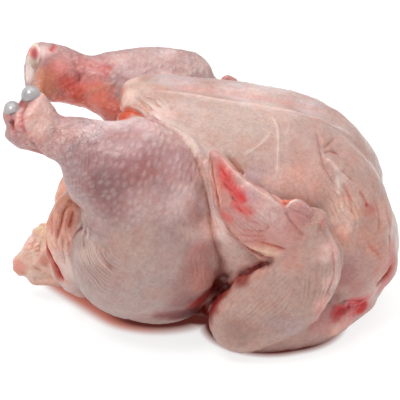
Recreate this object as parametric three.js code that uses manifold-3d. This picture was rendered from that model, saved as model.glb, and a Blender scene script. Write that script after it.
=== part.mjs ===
// A whole raw chicken, plucked and drawn, lying on its back with the breast up.
// Millimetres. +Z is up, +X points to the neck end, -Y to the bird's left side. The origin is on the
// flat patch of back that the bird rests on.
//
// The carcass is one solid. Each fleshy mass is a limb: a sphere whose rings are carried along a
// curve and made ellipses. The masses are joined, the body cavity is hollowed out from the vent, and
// what would lie under the table is cut off flat. The cartilage that caps the left shank and the
// bone that shows in the cut end of the right shank are solids of their own, seated in the flesh.
import * as THREE from "three";
import { mergeVertices } from "three/addons/utils/BufferGeometryUtils.js";
import Module from "manifold-3d";

const wasm = await Module();
wasm.setup();

const SEAT_GAP = 0.3; // clearance between a bone end and the flesh around it
const MERGE_DISTANCE = 1e-4;
const UP = [0, 0, 1];
const TO_TAIL = [-1, 0, 0];
const TO_TAIL_AND_UP = [-1, 0, 1];

// ---------------------------------------------------------------- limbs

// A station of a limb: its centre, its half width, its half height and its turn in degrees.
const station = (x, y, z, wide, tall, roll = 0) => ({ at: [x, y, z], wide, tall, roll });

// The same stations on the bird's other side.
const mirrored = (stations) =>
  stations.map(({ at: [x, y, z], wide, tall, roll }) => station(x, -y, z, wide, tall, -roll));

// The stations moved by (dx, dy, dz), each ring grown by `grown` all round.
const moved = (stations, dx, dy, dz, grown = 0) =>
  stations.map(({ at: [x, y, z], wide, tall, roll }) =>
    station(x + dx, y + dy, z + dz, wide + grown, tall + grown, roll),
  );

// How full a ring is at t along a limb whose rounded ends take the shares head and tail of it.
function fullness(t, head, tail) {
  const rounded = (share) => Math.sqrt(1 - (1 - Math.min(share, 1)) ** 2);
  return Math.min(rounded(t / head), rounded((1 - t) / tail));
}

// A rounded limb through the stations, each ring's height lying along `up` as nearly as it can.
function limb(stations, { sides = 20, rings = 14, head = 0.2, tail = 0.2, up = UP } = {}) {
  const path = new THREE.CatmullRomCurve3(stations.map((s) => new THREE.Vector3(...s.at)));
  const sizes = new THREE.CatmullRomCurve3(
    stations.map((s) => new THREE.Vector3(s.wide, s.tall, s.roll)),
  );
  const geometry = new THREE.SphereGeometry(1, sides, rings);
  const position = geometry.getAttribute("position");
  const upright = new THREE.Vector3(...up);
  const point = new THREE.Vector3();
  for (let i = 0; i < position.count; i++) {
    point.fromBufferAttribute(position, i);
    const t = (1 - point.y) / 2;
    const turn = Math.atan2(point.z, point.x);
    const size = sizes.getPoint(t);
    const full = fullness(t, head, tail);
    const tangent = path.getTangent(t);
    const across = new THREE.Vector3().crossVectors(upright, tangent).normalize();
    const height = new THREE.Vector3().crossVectors(tangent, across);
    const roll = THREE.MathUtils.degToRad(size.z);
    const a = Math.cos(turn) * size.x * full;
    const b = Math.sin(turn) * size.y * full;
    point
      .copy(path.getPoint(t))
      .addScaledVector(across, a * Math.cos(roll) - b * Math.sin(roll))
      .addScaledVector(height, a * Math.sin(roll) + b * Math.cos(roll));
    position.setXYZ(i, point.x, point.y, point.z);
  }
  return solid(geometry);
}

// A closed geometry as a manifold-3d solid.
function solid(geometry) {
  geometry.deleteAttribute("normal");
  geometry.deleteAttribute("uv");
  const merged = mergeVertices(geometry, MERGE_DISTANCE);
  const triVerts = new Uint32Array(merged.index.array);
  const vertProperties = merged.getAttribute("position").array;
  const made = new wasm.Manifold(new wasm.Mesh({ numProp: 3, vertProperties, triVerts }));
  if (made.volume() > 0) return made;
  for (let i = 0; i < triVerts.length; i += 3) {
    [triVerts[i + 1], triVerts[i + 2]] = [triVerts[i + 2], triVerts[i + 1]];
  }
  return new wasm.Manifold(new wasm.Mesh({ numProp: 3, vertProperties, triVerts }));
}

const union = (solids) => solids.reduce((joined, next) => joined.add(next));

// ---------------------------------------------------------------- torso

const RIB_CAGE = [
  station(-64, 0, 36, 31, 27),
  station(-37, 0, 50, 47, 47),
  station(0, 0, 54, 57, 57),
  station(32, 0, 53, 60, 57),
  station(60, 0, 47, 58, 50.5),
  station(84, 0, 38, 51, 42),
  station(107, 0, 28, 37, 29),
];

// One half of the breast, with its inner edge high beside the keel.
const LEFT_BREAST = [
  station(-41.5, -7.5, 115, 9, 7.5, 0),
  station(-26, -15.5, 111.5, 22, 13.5, 20),
  station(4.5, -22.5, 101.5, 31, 17, 32),
  station(34, -23.5, 95, 33, 19, 32),
  station(60, -21, 85, 31, 22, 26),
  station(78, -17, 64, 29, 23, 12),
  station(87, -12, 40, 24, 20, 0),
];

// Loose skin of the neck, rolled under the shoulders.
const NECK_SKIN = [
  station(54, -42, 11, 11, 12),
  station(72, -37, 12, 12, 12),
  station(87, -22, 14, 13, 13),
  station(93, 0, 16, 13, 14),
  station(87, 22, 14, 13, 13),
  station(72, 37, 12, 12, 12),
  station(54, 42, 11, 11, 12),
];

function torso() {
  const breastShape = { sides: 20, rings: 18, head: 0.08, tail: 0.15 };
  return union([
    limb(RIB_CAGE, { sides: 30, rings: 22, head: 0.1, tail: 0.16 }),
    limb(LEFT_BREAST, breastShape),
    limb(mirrored(LEFT_BREAST), breastShape),
    limb(NECK_SKIN, { sides: 12, rings: 14, head: 0.1, tail: 0.1 }),
  ]);
}

// ---------------------------------------------------------------- legs

const LEFT_THIGH = [
  station(-31, -22, 5, 18, 20),
  station(-30, -32, 23, 27, 33),
  station(-29, -39, 46, 36, 41),
  station(-19, -42, 74, 34, 36),
  station(-12, -45, 95, 21, 24),
];

const LEFT_DRUMSTICK = [
  station(0, -45, 88, 18, 20),
  station(-13, -49, 93, 25, 27),
  station(-33, -52, 96, 26, 32),
  station(-51, -53, 102, 22, 27),
  station(-66, -53, 111.5, 13, 16),
  station(-74, -53, 117.5, 11.5, 11.5),
  station(-82, -54, 124.5, 12, 14),
  station(-89, -55, 131, 11, 14),
];

const RIGHT_DRUMSTICK = [
  station(5, 56, 92, 18.5, 21),
  station(-12, 57, 99, 24, 28),
  station(-33, 57, 101, 24, 28.5),
  station(-52, 56, 104.5, 18, 22),
  station(-66, 55, 109.5, 13.5, 14.5),
  station(-77, 53.5, 113.5, 14, 16),
  station(-87, 51, 116, 14.5, 17),
  station(-94.5, 47.5, 117.5, 14, 16.5),
];

function leg(thigh, drumstick) {
  return union([
    limb(thigh, { sides: 20, rings: 14, head: 0.3, tail: 0.3, up: TO_TAIL }),
    limb(drumstick, { sides: 18, rings: 20, head: 0.15, tail: 0.04 }),
  ]);
}

// The two knobs of the hock joint and the end of the bone that carries them.
const LEFT_SHANK_KNOBS = [
  station(-82, -50, 139, 5.2, 5.2),
  station(-85, -52.5, 136.5, 3.6, 4.2),
  station(-87.5, -55, 135, 3.6, 4.2),
  station(-90.5, -57.5, 133, 5.4, 5.4),
];
const LEFT_SHANK = [
  station(-87, -53.8, 135.5, 4, 5.5),
  station(-78, -53.4, 124, 4, 5),
  station(-67, -53, 113.5, 3.8, 4.4),
];

// The sawn bone of the right shank, a little proud of the cut.
const RIGHT_SHANK = [
  station(-95, 47, 124.5, 6.5, 6),
  station(-87, 50.5, 122.5, 6, 5.5),
  station(-77, 53.5, 118.5, 4.8, 4.6),
  station(-68, 55, 114, 4.4, 4.2),
];

// A bone end, or with `clearance` the seat for it.
const leftBone = (clearance = 0) =>
  union([
    limb(moved(LEFT_SHANK_KNOBS, 0, 0, 0, clearance), { sides: 10, rings: 10, up: TO_TAIL_AND_UP }),
    limb(moved(LEFT_SHANK, 0, 0, 0, clearance), { sides: 10, rings: 6, head: 0.1, tail: 0.1 }),
  ]);
const rightBone = (clearance = 0) =>
  limb(moved(RIGHT_SHANK, 0, 0, 0, clearance), { sides: 14, rings: 10, head: 0.04, tail: 0.1 });

// ---------------------------------------------------------------- wings

const LEFT_HUMERUS = [
  station(14, -57, 14, 14, 14.5),
  station(42, -55, 14.5, 15, 15.5),
  station(62, -46, 17, 17, 18),
  station(74, -38, 26, 16, 20),
];

const LEFT_FOREARM = [
  station(8, -60, 11.5, 12, 13),
  station(22, -64, 22, 13.5, 19),
  station(39, -67, 38, 12.5, 24),
  station(51, -67, 54, 11, 23),
  station(55, -67, 71, 9.5, 16),
  station(50, -66, 85, 8, 10),
];

const LEFT_HAND = [
  station(54, -67, 68, 9, 15),
  station(40, -69.5, 74, 8, 16.5),
  station(28, -69, 81, 7, 16.5),
  station(18.5, -66.5, 91, 6, 13),
  station(12, -63.5, 101, 4.5, 8),
  station(7, -60, 112, 3, 3),
];

const LEFT_THUMB = [
  station(54, -69, 82, 5, 5.5),
  station(49.5, -71, 88, 4.5, 4.5),
  station(44, -71, 90.5, 3.5, 3.5),
];

const LEFT_WING = [LEFT_HUMERUS, LEFT_FOREARM, LEFT_HAND, LEFT_THUMB];
const RIGHT_WING = LEFT_WING.map((bone) => moved(mirrored(bone), 6, 1, 0));

function wing([humerus, forearm, hand, thumb]) {
  return union([
    limb(humerus, { sides: 14, rings: 10 }),
    limb(forearm, { sides: 16, rings: 14, head: 0.12, tail: 0.15, up: TO_TAIL_AND_UP }),
    limb(hand, { sides: 12, rings: 14, head: 0.15, tail: 0.08 }),
    limb(thumb, { sides: 8, rings: 6, head: 0.3, tail: 0.3 }),
  ]);
}

// ---------------------------------------------------------------- tail, vent and cavity

const PARSONS_NOSE = [
  station(-60, 0, 29, 24, 21),
  station(-76, 0, 29, 19, 19),
  station(-87, 0, 28.5, 13, 17),
  station(-95, 0, 24.5, 9, 12.5),
  station(-100.5, 0, 21.5, 5.5, 7.5),
  station(-104, 0, 20, 4, 4.5),
];

const LEFT_VENT_LIP = [
  station(-44, -26, 92, 6, 7),
  station(-60, -28, 80, 8, 8),
  station(-69, -28, 66, 10, 9),
  station(-72, -26, 48, 12, 9.5),
  station(-68, -22, 28, 12, 9.5),
  station(-58, -18, 14, 10, 8.5),
];

const BODY_CAVITY = [
  station(-110, 0, 73, 14, 20),
  station(-73, 0, 70, 18, 23),
  station(-46, 0, 66, 24, 28),
  station(-14, 0, 59, 27, 27),
  station(14, 0, 53, 25, 25),
  station(37, 0, 49, 16, 16),
];

// ---------------------------------------------------------------- the bird

function carcass() {
  const lipShape = { sides: 12, rings: 12, up: TO_TAIL };
  const flesh = union([
    torso(),
    leg(LEFT_THIGH, LEFT_DRUMSTICK),
    leg(mirrored(LEFT_THIGH), RIGHT_DRUMSTICK),
    wing(LEFT_WING),
    wing(RIGHT_WING),
    limb(LEFT_VENT_LIP, lipShape),
    limb(mirrored(LEFT_VENT_LIP), lipShape),
    limb(PARSONS_NOSE, { sides: 16, rings: 12, tail: 0.12 }),
  ]);
  const underTable = new THREE.BoxGeometry(400, 400, 100);
  underTable.translate(0, 0, -50);
  return flesh
    .subtract(limb(BODY_CAVITY, { sides: 20, rings: 14, head: 0.05, tail: 0.2 }))
    .subtract(leftBone(SEAT_GAP))
    .subtract(rightBone(SEAT_GAP))
    .subtract(solid(underTable));
}

const SKIN = new THREE.MeshStandardMaterial({ color: 0xe3c0b4, roughness: 0.55, metalness: 0 });
const CARTILAGE = new THREE.MeshStandardMaterial({ color: 0xb9bcc4, roughness: 0.25, metalness: 0 });
const BONE = new THREE.MeshStandardMaterial({ color: 0xe6d3c4, roughness: 0.6, metalness: 0 });

function meshOf(name, made, material) {
  const { numProp, vertProperties, triVerts } = made.getMesh();
  const corners = new Float32Array((vertProperties.length / numProp) * 3);
  for (let i = 0; i < corners.length / 3; i++) {
    for (let axis = 0; axis < 3; axis++) corners[3 * i + axis] = vertProperties[numProp * i + axis];
  }
  const geometry = new THREE.BufferGeometry();
  geometry.setAttribute("position", new THREE.BufferAttribute(corners, 3));
  geometry.setIndex(new THREE.BufferAttribute(triVerts, 1));
  geometry.computeVertexNormals();
  const mesh = new THREE.Mesh(geometry, material);
  mesh.name = name;
  return mesh;
}

const chicken = new THREE.Group();
chicken.name = "whole_raw_chicken";
chicken.add(meshOf("carcass", carcass(), SKIN));
chicken.add(meshOf("left_shank_cartilage", leftBone(), CARTILAGE));
chicken.add(meshOf("right_shank_bone", rightBone(), BONE));

export default chicken;
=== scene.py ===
"""A whole raw chicken on its back: skin with folds, wrinkles and feather pits, cut shanks, a pale studio.

Metres, +Z up, +X to the neck end, -Y to the bird's left side. Sizes are named in millimetres. The folds,
stained patches and patches of painted shade and highlight are placed by spots of the main view's picture,
which a Sight carries onto the skin.
"""
import logging
import math
from dataclasses import dataclass, field, replace
from enum import Enum

import bpy
import numpy as np
from mathutils import Matrix, Vector
from mathutils.bvhtree import BVHTree


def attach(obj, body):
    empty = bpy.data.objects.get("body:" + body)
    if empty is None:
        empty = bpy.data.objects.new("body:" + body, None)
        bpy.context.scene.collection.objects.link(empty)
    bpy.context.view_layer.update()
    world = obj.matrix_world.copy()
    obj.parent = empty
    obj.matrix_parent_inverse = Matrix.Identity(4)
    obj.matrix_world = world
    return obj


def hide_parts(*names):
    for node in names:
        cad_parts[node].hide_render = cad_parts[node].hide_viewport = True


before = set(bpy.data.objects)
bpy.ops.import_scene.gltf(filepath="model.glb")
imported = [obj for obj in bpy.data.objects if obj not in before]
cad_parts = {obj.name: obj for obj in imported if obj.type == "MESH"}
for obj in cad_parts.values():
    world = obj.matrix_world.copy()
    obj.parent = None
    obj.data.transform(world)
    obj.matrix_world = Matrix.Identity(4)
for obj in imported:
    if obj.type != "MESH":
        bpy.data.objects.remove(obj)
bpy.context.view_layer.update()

MM = 0.001
SEAM_LAYERS = 4
NO_SEAM = 99.0
SEAM_REACH = 8.0
COLOUR_REACH = 2.4
PRESS_REACH = 3.2
CORNER_STEP = 3.0
MIRRORED = (1, -1, 1)
UP = (0.0, 0.0, 1.0)
TO_TAIL = (-1.0, 0.0, 0.0)
TO_TAIL_AND_UP = (-1.0, 0.0, 1.0)

Tone = tuple[int, int, int]
Place = tuple[float, float, float]
# where a feature sits: a spot of the main view's picture in pixels, or a place in millimetres
Anchor = tuple[float, float] | Place

Socket = bpy.types.NodeSocket

log = logging.getLogger("raw_chicken")


# ------------------------------------------------------------------------------ curves and limbs


def srgb(red: int, green: int, blue: int) -> tuple[float, float, float]:
    """A screen colour, 0 to 255, as linear light, by the curve that the sRGB standard gives."""
    channels = []
    for value in (red, green, blue):
        share = value / 255
        channels.append(share / 12.92 if share <= 0.04045 else ((share + 0.055) / 1.055) ** 2.4)
    return tuple(channels)


def curve_at(points: np.ndarray, t: float) -> np.ndarray:
    """A point on the centripetal curve through the points.

    Args:
        points: one row per point.
        t: 0 at the first point, 1 at the last, with equal shares for all stretches.

    Returns:
        The point.
    """
    last = len(points) - 1
    at = min(max(t, 0.0), 1.0) * last
    i = min(int(at), last - 1)
    share = at - i
    p1, p2 = points[i], points[i + 1]
    p0 = points[i - 1] if i > 0 else 2 * p1 - p2
    p3 = points[i + 2] if i + 2 <= last else 2 * p2 - p1
    step0, step1, step2 = (np.linalg.norm(b - a) ** 0.5 for a, b in ((p0, p1), (p1, p2), (p2, p3)))
    least = 1e-4
    step1 = step1 if step1 >= least else 1.0
    step0 = step0 if step0 > least else step1
    step2 = step2 if step2 > least else step1
    out = ((p1 - p0) / step0 - (p2 - p0) / (step0 + step1) + (p2 - p1) / step1) * step1
    into = ((p2 - p1) / step1 - (p3 - p1) / (step1 + step2) + (p3 - p2) / step2) * step1
    square, cube = share * share, share**3
    return p1 + out * share + (3 * (p2 - p1) - 2 * out - into) * square + (2 * (p1 - p2) + out + into) * cube


@dataclass(frozen=True)
class Station:
    """One ring of a limb, in millimetres: its centre, half width, half height and turn in degrees."""

    x: float
    y: float
    z: float
    wide: float
    tall: float
    roll: float = 0.0


def stations(*rows: tuple[float, ...]) -> tuple[Station, ...]:
    """Stations from rows of numbers."""
    return tuple(Station(*row) for row in rows)


@dataclass(frozen=True)
class Limb:
    """A rounded fleshy mass whose rings run along a curve.

    Attributes:
        rings_at: the stations the curve goes through.
        sides: corners of each ring.
        rings: number of rings.
        head: share of the length that rounds off the start.
        tail: share of the length that rounds off the end.
        up: the direction that a ring's height follows.
    """

    rings_at: tuple[Station, ...]
    sides: int = 28
    rings: int = 22
    head: float = 0.2
    tail: float = 0.2
    up: tuple[float, float, float] = UP

    def mirrored(self) -> "Limb":
        """The same limb on the bird's other side."""
        return replace(self, rings_at=tuple(replace(s, y=-s.y, roll=-s.roll) for s in self.rings_at))

    def moved(self, dx: float, dy: float, dz: float) -> "Limb":
        """The limb moved, in millimetres."""
        return replace(
            self, rings_at=tuple(replace(s, x=s.x + dx, y=s.y + dy, z=s.z + dz) for s in self.rings_at)
        )

    def fullness(self, t: float) -> float:
        """How full the ring at t is, from 0 at a tip to 1."""
        nearest = min(t / self.head, (1 - t) / self.tail, 1.0)
        return math.sqrt(max(1 - (1 - nearest) ** 2, 0.0))

    def ring(self, t: float) -> tuple[Matrix, tuple[float, float]]:
        """The ring at t.

        Returns:
            Its placement in metres and its two half sizes in metres.
        """
        centres = np.array([(s.x, s.y, s.z) for s in self.rings_at], float)
        sizes = np.array([(s.wide, s.tall, s.roll) for s in self.rings_at], float)
        centre = curve_at(centres, t)
        along = Vector(curve_at(centres, t + 1e-3) - curve_at(centres, t - 1e-3)).normalized()
        across = Vector(self.up).cross(along).normalized()
        height = along.cross(across)
        wide, tall, roll = curve_at(sizes, t)
        full = self.fullness(t)
        turn = Matrix.Rotation(math.radians(roll), 4, along)
        axes = Matrix((across, height, along)).transposed().to_4x4()
        place = Matrix.Translation(Vector(centre) * MM) @ turn @ axes
        return place, (wide * full * MM, tall * full * MM)

    def closeness(self, points: np.ndarray) -> np.ndarray:
        """How far points lie from the limb's curve: 1 on its surface, less inside.

        Args:
            points: one row per point, in metres.

        Returns:
            One value per point.
        """
        best = np.full(len(points), np.inf)
        spans = np.linspace(0.04, 0.96, 13)
        middles = [self.ring(t)[0].translation for t in spans]
        length = np.linalg.norm([b - a for a, b in zip(middles, middles[1:])], axis=1).mean()
        slimmest = 2 * MM
        for t in spans:
            place, (wide, tall) = self.ring(t)
            axes = np.array(place.to_3x3())
            local = (points - np.array(place.translation)) @ axes
            sizes = (max(wide, slimmest), max(tall, slimmest), length)
            best = np.minimum(best, ((local / sizes) ** 2).sum(1))
        return np.sqrt(best)

    def build(self, name: str) -> bpy.types.Object:
        """The limb as a closed mesh: a circle at each ring, bridged, with both tips filled."""
        bpy.ops.object.select_all(action="DESELECT")
        bpy.ops.mesh.primitive_circle_add(vertices=3, radius=MM)
        limb = bpy.context.object
        limb.name = name
        bpy.ops.object.mode_set(mode="EDIT")
        bpy.ops.mesh.select_all(action="SELECT")
        bpy.ops.mesh.delete(type="VERT")
        for i in range(1, self.rings):
            t = (1 - math.cos(math.pi * i / self.rings)) / 2
            place, (wide, tall) = self.ring(t)
            centre = place.translation
            axes = place.to_3x3()
            bpy.ops.mesh.primitive_circle_add(
                vertices=self.sides, radius=MM, location=centre, rotation=axes.to_euler()
            )
            bpy.ops.transform.resize(
                value=(max(wide / MM, 0.2), max(tall / MM, 0.2), 1),
                orient_type="GLOBAL",
                orient_matrix=[tuple(axes.col[k]) for k in range(3)],
                orient_matrix_type="GLOBAL",
                center_override=centre,
            )
        bpy.ops.mesh.select_all(action="SELECT")
        bpy.ops.mesh.bridge_edge_loops()
        bpy.ops.mesh.select_all(action="SELECT")
        bpy.ops.mesh.fill_holes(sides=0)
        bpy.ops.mesh.select_all(action="SELECT")
        bpy.ops.mesh.normals_make_consistent(inside=False)
        bpy.ops.object.mode_set(mode="OBJECT")
        return limb


# ------------------------------------------------------------------------------ the bird's masses


@dataclass(frozen=True)
class Torso:
    """The rib cage, the two halves of the breast and the loose skin of the neck."""

    rib_cage: Limb = Limb(
        stations(
            (-64, 0, 36, 31, 27),
            (-37, 0, 50, 47, 47),
            (0, 0, 54, 57, 57),
            (32, 0, 53, 60, 57),
            (60, 0, 47, 58, 50.5),
            (84, 0, 36, 51, 38),
            (107, 0, 29, 38, 27),
        ),
        sides=40, rings=30, head=0.1, tail=0.16,
    )
    left_breast: Limb = Limb(
        stations(
            (-41.5, -7.5, 115, 9, 7.5, 0),
            (-26, -15.5, 111.5, 22, 13.5, 20),
            (4.5, -22.5, 101.5, 31, 17, 32),
            (34, -23.5, 95, 33, 19, 32),
            (60, -21, 85, 31, 22, 26),
            (78, -17, 64, 29, 23, 12),
            (87, -12, 40, 24, 20, 0),
        ),
        sides=32, rings=26, head=0.08, tail=0.15,
    )
    neck_skin: Limb = Limb(
        stations(
            (54, -42, 11, 11, 12),
            (70, -36, 13, 12, 13),
            (83, -22, 19, 13, 15),
            (91, 0, 24, 15, 18),
            (83, 22, 19, 13, 15),
            (70, 36, 13, 12, 13),
            (54, 42, 11, 11, 12),
        ),
        sides=20, rings=24, head=0.1, tail=0.1,
    )

    left_flank: Limb = Limb(
        stations(
            (-30, -26, 115, 6, 6),
            (-10, -43, 108, 9, 9),
            (8, -51, 92, 10, 11),
            (18, -54.5, 72, 10, 12),
            (23, -52, 53, 11, 13),
            (27, -44, 35, 10, 14),
        ),
        sides=24, rings=24, up=TO_TAIL,
    )

    breast_tip: Limb = Limb(
        stations(
            (-42, -4, 117.5, 12, 9),
            (-30, -4, 118, 15, 11),
            (-6, -3, 113, 13, 9.5),
            (22, -2, 107, 9, 6),
        ),
        sides=24, rings=18, head=0.12,
    )

    def masses(self) -> dict[str, Limb]:
        """The torso's limbs by name."""
        return {
            "breast_tip": self.breast_tip,
            "left_flank": self.left_flank,
            "right_flank": self.left_flank.mirrored(),
            "rib_cage": self.rib_cage,
            "left_breast": self.left_breast,
            "right_breast": self.left_breast.mirrored().moved(0, 0, 2),
            "neck_skin": self.neck_skin,
        }


@dataclass(frozen=True)
class Legs:
    """Both thighs and drumsticks. The left shank is cut through the joint, the right one is sawn."""

    left_thigh: Limb = Limb(
        stations(
            (-20, -25, 8, 17, 18),
            (-21, -33, 25, 25, 32),
            (-25, -39, 46, 35.5, 43),
            (-19, -42, 74, 34, 36),
            (-12, -45, 95, 21, 24),
        ),
        sides=36, rings=24, head=0.3, tail=0.3, up=TO_TAIL,
    )
    left_drumstick: Limb = Limb(
        stations(
            (-3, -45, 86, 18, 18),
            (-14, -49, 92.5, 25, 26),
            (-32, -52, 97.5, 26, 31.5),
            (-48.5, -53, 105, 21, 25.5),
            (-62, -53, 115, 13.5, 14),
            (-73, -53, 119, 11, 10.5),
            (-82, -54, 125, 11.5, 13.5),
            (-88.5, -55, 131, 10.5, 13.5),
        ),
        sides=32, rings=34, head=0.15, tail=0.04,
    )
    inner_knuckle: Limb = Limb(
        stations(
            (-74, -53, 120, 8, 9),
            (-78, -52, 129, 8, 8),
            (-81, -51.5, 135, 7.4, 7),
            (-82, -51.5, 139.5, 6.6, 6.2),
        ),
        sides=24, rings=16, head=0.3, tail=0.06, up=TO_TAIL,
    )
    outer_knuckle: Limb = Limb(
        stations(
            (-82, -55, 122, 9, 9),
            (-87, -54.5, 127, 7.8, 8),
            (-90.3, -54, 131, 7, 6.5),
            (-91, -54, 134, 6.3, 5.4),
        ),
        sides=24, rings=16, head=0.3, tail=0.06, up=TO_TAIL,
    )
    right_drumstick: Limb = Limb(
        stations(
            (9, 56, 92, 17.5, 20),
            (-10, 57, 98.5, 24, 27.5),
            (-33, 57, 102.5, 24, 26),
            (-52, 56, 107, 18, 19.5),
            (-66, 55, 109.5, 13.5, 14.5),
            (-77, 53.5, 113.5, 14, 16),
            (-87, 51, 116, 14.5, 17),
            (-94.5, 47.5, 117.5, 14, 16.5),
        ),
        sides=32, rings=34, head=0.15, tail=0.04,
    )

    left_knee: Limb = Limb(
        stations((-29, -49, 58, 20, 34), (-26, -51, 74, 23, 34), (-19, -51, 90, 21, 28)),
        sides=28, rings=16, head=0.4, tail=0.4, up=TO_TAIL,
    )

    def masses(self) -> dict[str, Limb]:
        """The legs' limbs by name."""
        return {
            "left_knee": self.left_knee,
            "right_knee": self.left_knee.mirrored().moved(5, 0, 2),
            "left_thigh": self.left_thigh,
            "right_thigh": self.left_thigh.mirrored(),
            "left_drumstick": self.left_drumstick,
            "inner_knuckle": self.inner_knuckle,
            "outer_knuckle": self.outer_knuckle,
            "right_drumstick": self.right_drumstick,
        }


@dataclass(frozen=True)
class Wings:
    """Both wings, folded: the upper arm lies on the table, the hand points up along the flank."""

    humerus: Limb = Limb(
        stations(
            (14, -55, 14, 14, 14.5),
            (42, -52, 14.5, 15, 15.5),
            (62, -44, 18, 17, 18),
            (74, -37, 27, 16, 20),
        ),
        sides=24, rings=18,
    )
    forearm: Limb = Limb(
        stations(
            (8, -60, 11.5, 12, 13),
            (22, -64, 22, 13.5, 19),
            (39, -67, 38, 12.5, 24),
            (50, -67, 54, 11, 22),
            (55, -67, 71, 9.5, 16),
            (50, -66, 85, 8, 10),
        ),
        sides=28, rings=24, head=0.12, tail=0.15, up=TO_TAIL_AND_UP,
    )
    hand: Limb = Limb(
        stations(
            (54, -67, 68, 9, 15),
            (40, -69.5, 74, 8, 16.5),
            (28, -69, 81, 7, 16.5),
            (18.5, -66.5, 91, 6, 13),
            (12, -63.5, 101, 4.5, 8),
            (5.5, -59, 114.5, 3, 3),
        ),
        sides=24, rings=24, head=0.15, tail=0.08,
    )
    thumb: Limb = Limb(
        stations((53, -69, 82, 5, 5.5), (48, -71, 88, 4.5, 4.5), (42.5, -71, 90.5, 3.5, 3.5)),
        sides=16, rings=12, head=0.3, tail=0.3,
    )
    right_shift: tuple[float, float, float] = (8.0, 1.0, -3.0)

    def masses(self) -> dict[str, Limb]:
        """The wings' limbs by name."""
        left = {"humerus": self.humerus, "forearm": self.forearm, "hand": self.hand, "thumb": self.thumb}
        made = {f"left_{name}": limb for name, limb in left.items()}
        for name, limb in left.items():
            made[f"right_{name}"] = limb.mirrored().moved(*self.right_shift)
        return made


@dataclass(frozen=True)
class Vent:
    """The tail, the two lips of skin beside the vent and the hollow that they open on."""

    parsons_nose: Limb = Limb(
        stations(
            (-60, 0, 29, 24, 21),
            (-76, 0, 29, 19, 19),
            (-85.5, 0, 27.5, 13, 14.5),
            (-93, 0, 23.5, 9, 10),
            (-99.5, 0, 21, 5.5, 6.5),
            (-103.5, 0, 19.5, 4, 4.5),
        ),
        sides=28, rings=22, tail=0.12,
    )
    tail_flap: Limb = Limb(
        stations((-74, 0, 16, 14, 7), (-87, 0, 13.5, 9, 4), (-95.5, 0, 11.8, 4, 2)),
        sides=20, rings=14,
    )
    left_lip: Limb = Limb(
        stations(
            (-44, -26, 92, 6, 7),
            (-60, -28, 80, 8, 8),
            (-69, -28, 66, 10, 9),
            (-72, -26, 48, 12, 9.5),
            (-68, -22, 28, 12, 9.5),
            (-58, -18, 14, 10, 8.5),
        ),
        sides=20, rings=22, up=TO_TAIL,
    )
    body_cavity: Limb = Limb(
        stations(
            (-110, 0, 73, 14, 20),
            (-73, 0, 70, 18, 23),
            (-46, 0, 66, 24, 28),
            (-14, 0, 59, 27, 27),
            (14, 0, 53, 25, 25),
            (37, 0, 49, 16, 16),
        ),
        sides=32, rings=24, head=0.05, tail=0.2,
    )

    def masses(self) -> dict[str, Limb]:
        """The vent's limbs by name."""
        return {
            "parsons_nose": self.parsons_nose,
            "tail_flap": self.tail_flap,
            "left_vent_lip": self.left_lip,
            "right_vent_lip": self.left_lip.mirrored(),
        }


# ------------------------------------------------------------------------------ the flesh as one mesh


def apply_modifier(obj: bpy.types.Object, kind: str, **settings: object) -> None:
    """Adds a modifier to the object, sets it and applies it."""
    bpy.ops.object.select_all(action="DESELECT")
    obj.select_set(True)
    bpy.context.view_layer.objects.active = obj
    bpy.ops.object.modifier_add(type=kind)
    modifier = obj.modifiers[-1]
    for key, value in settings.items():
        setattr(modifier, key, value)
    bpy.ops.object.modifier_apply(modifier=modifier.name)


def lattice_noise(points: np.ndarray, size: float, seed: int) -> np.ndarray:
    """Smooth noise between -1 and 1.

    Args:
        points: one row per point, in metres.
        size: the width of a blotch, in millimetres.
        seed: picks the pattern.

    Returns:
        One value per point.
    """
    cells = 32
    table = np.random.RandomState(seed).uniform(-1, 1, (cells, cells, cells))
    scaled = points / (size * MM)
    low = np.floor(scaled).astype(int)
    share = scaled - low
    share = share * share * (3 - 2 * share)
    total = np.zeros(len(points))
    for dx in (0, 1):
        for dy in (0, 1):
            for dz in (0, 1):
                corner = (low + (dx, dy, dz)) % cells
                weight = np.prod(np.where((dx, dy, dz), share, 1 - share), axis=1)
                total += weight * table[corner[:, 0], corner[:, 1], corner[:, 2]]
    return total


def smooth_step(value: np.ndarray) -> np.ndarray:
    """0 below 0, 1 above 1, and a smooth rise between."""
    value = np.clip(value, 0, 1)
    return value * value * (3 - 2 * value)


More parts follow.
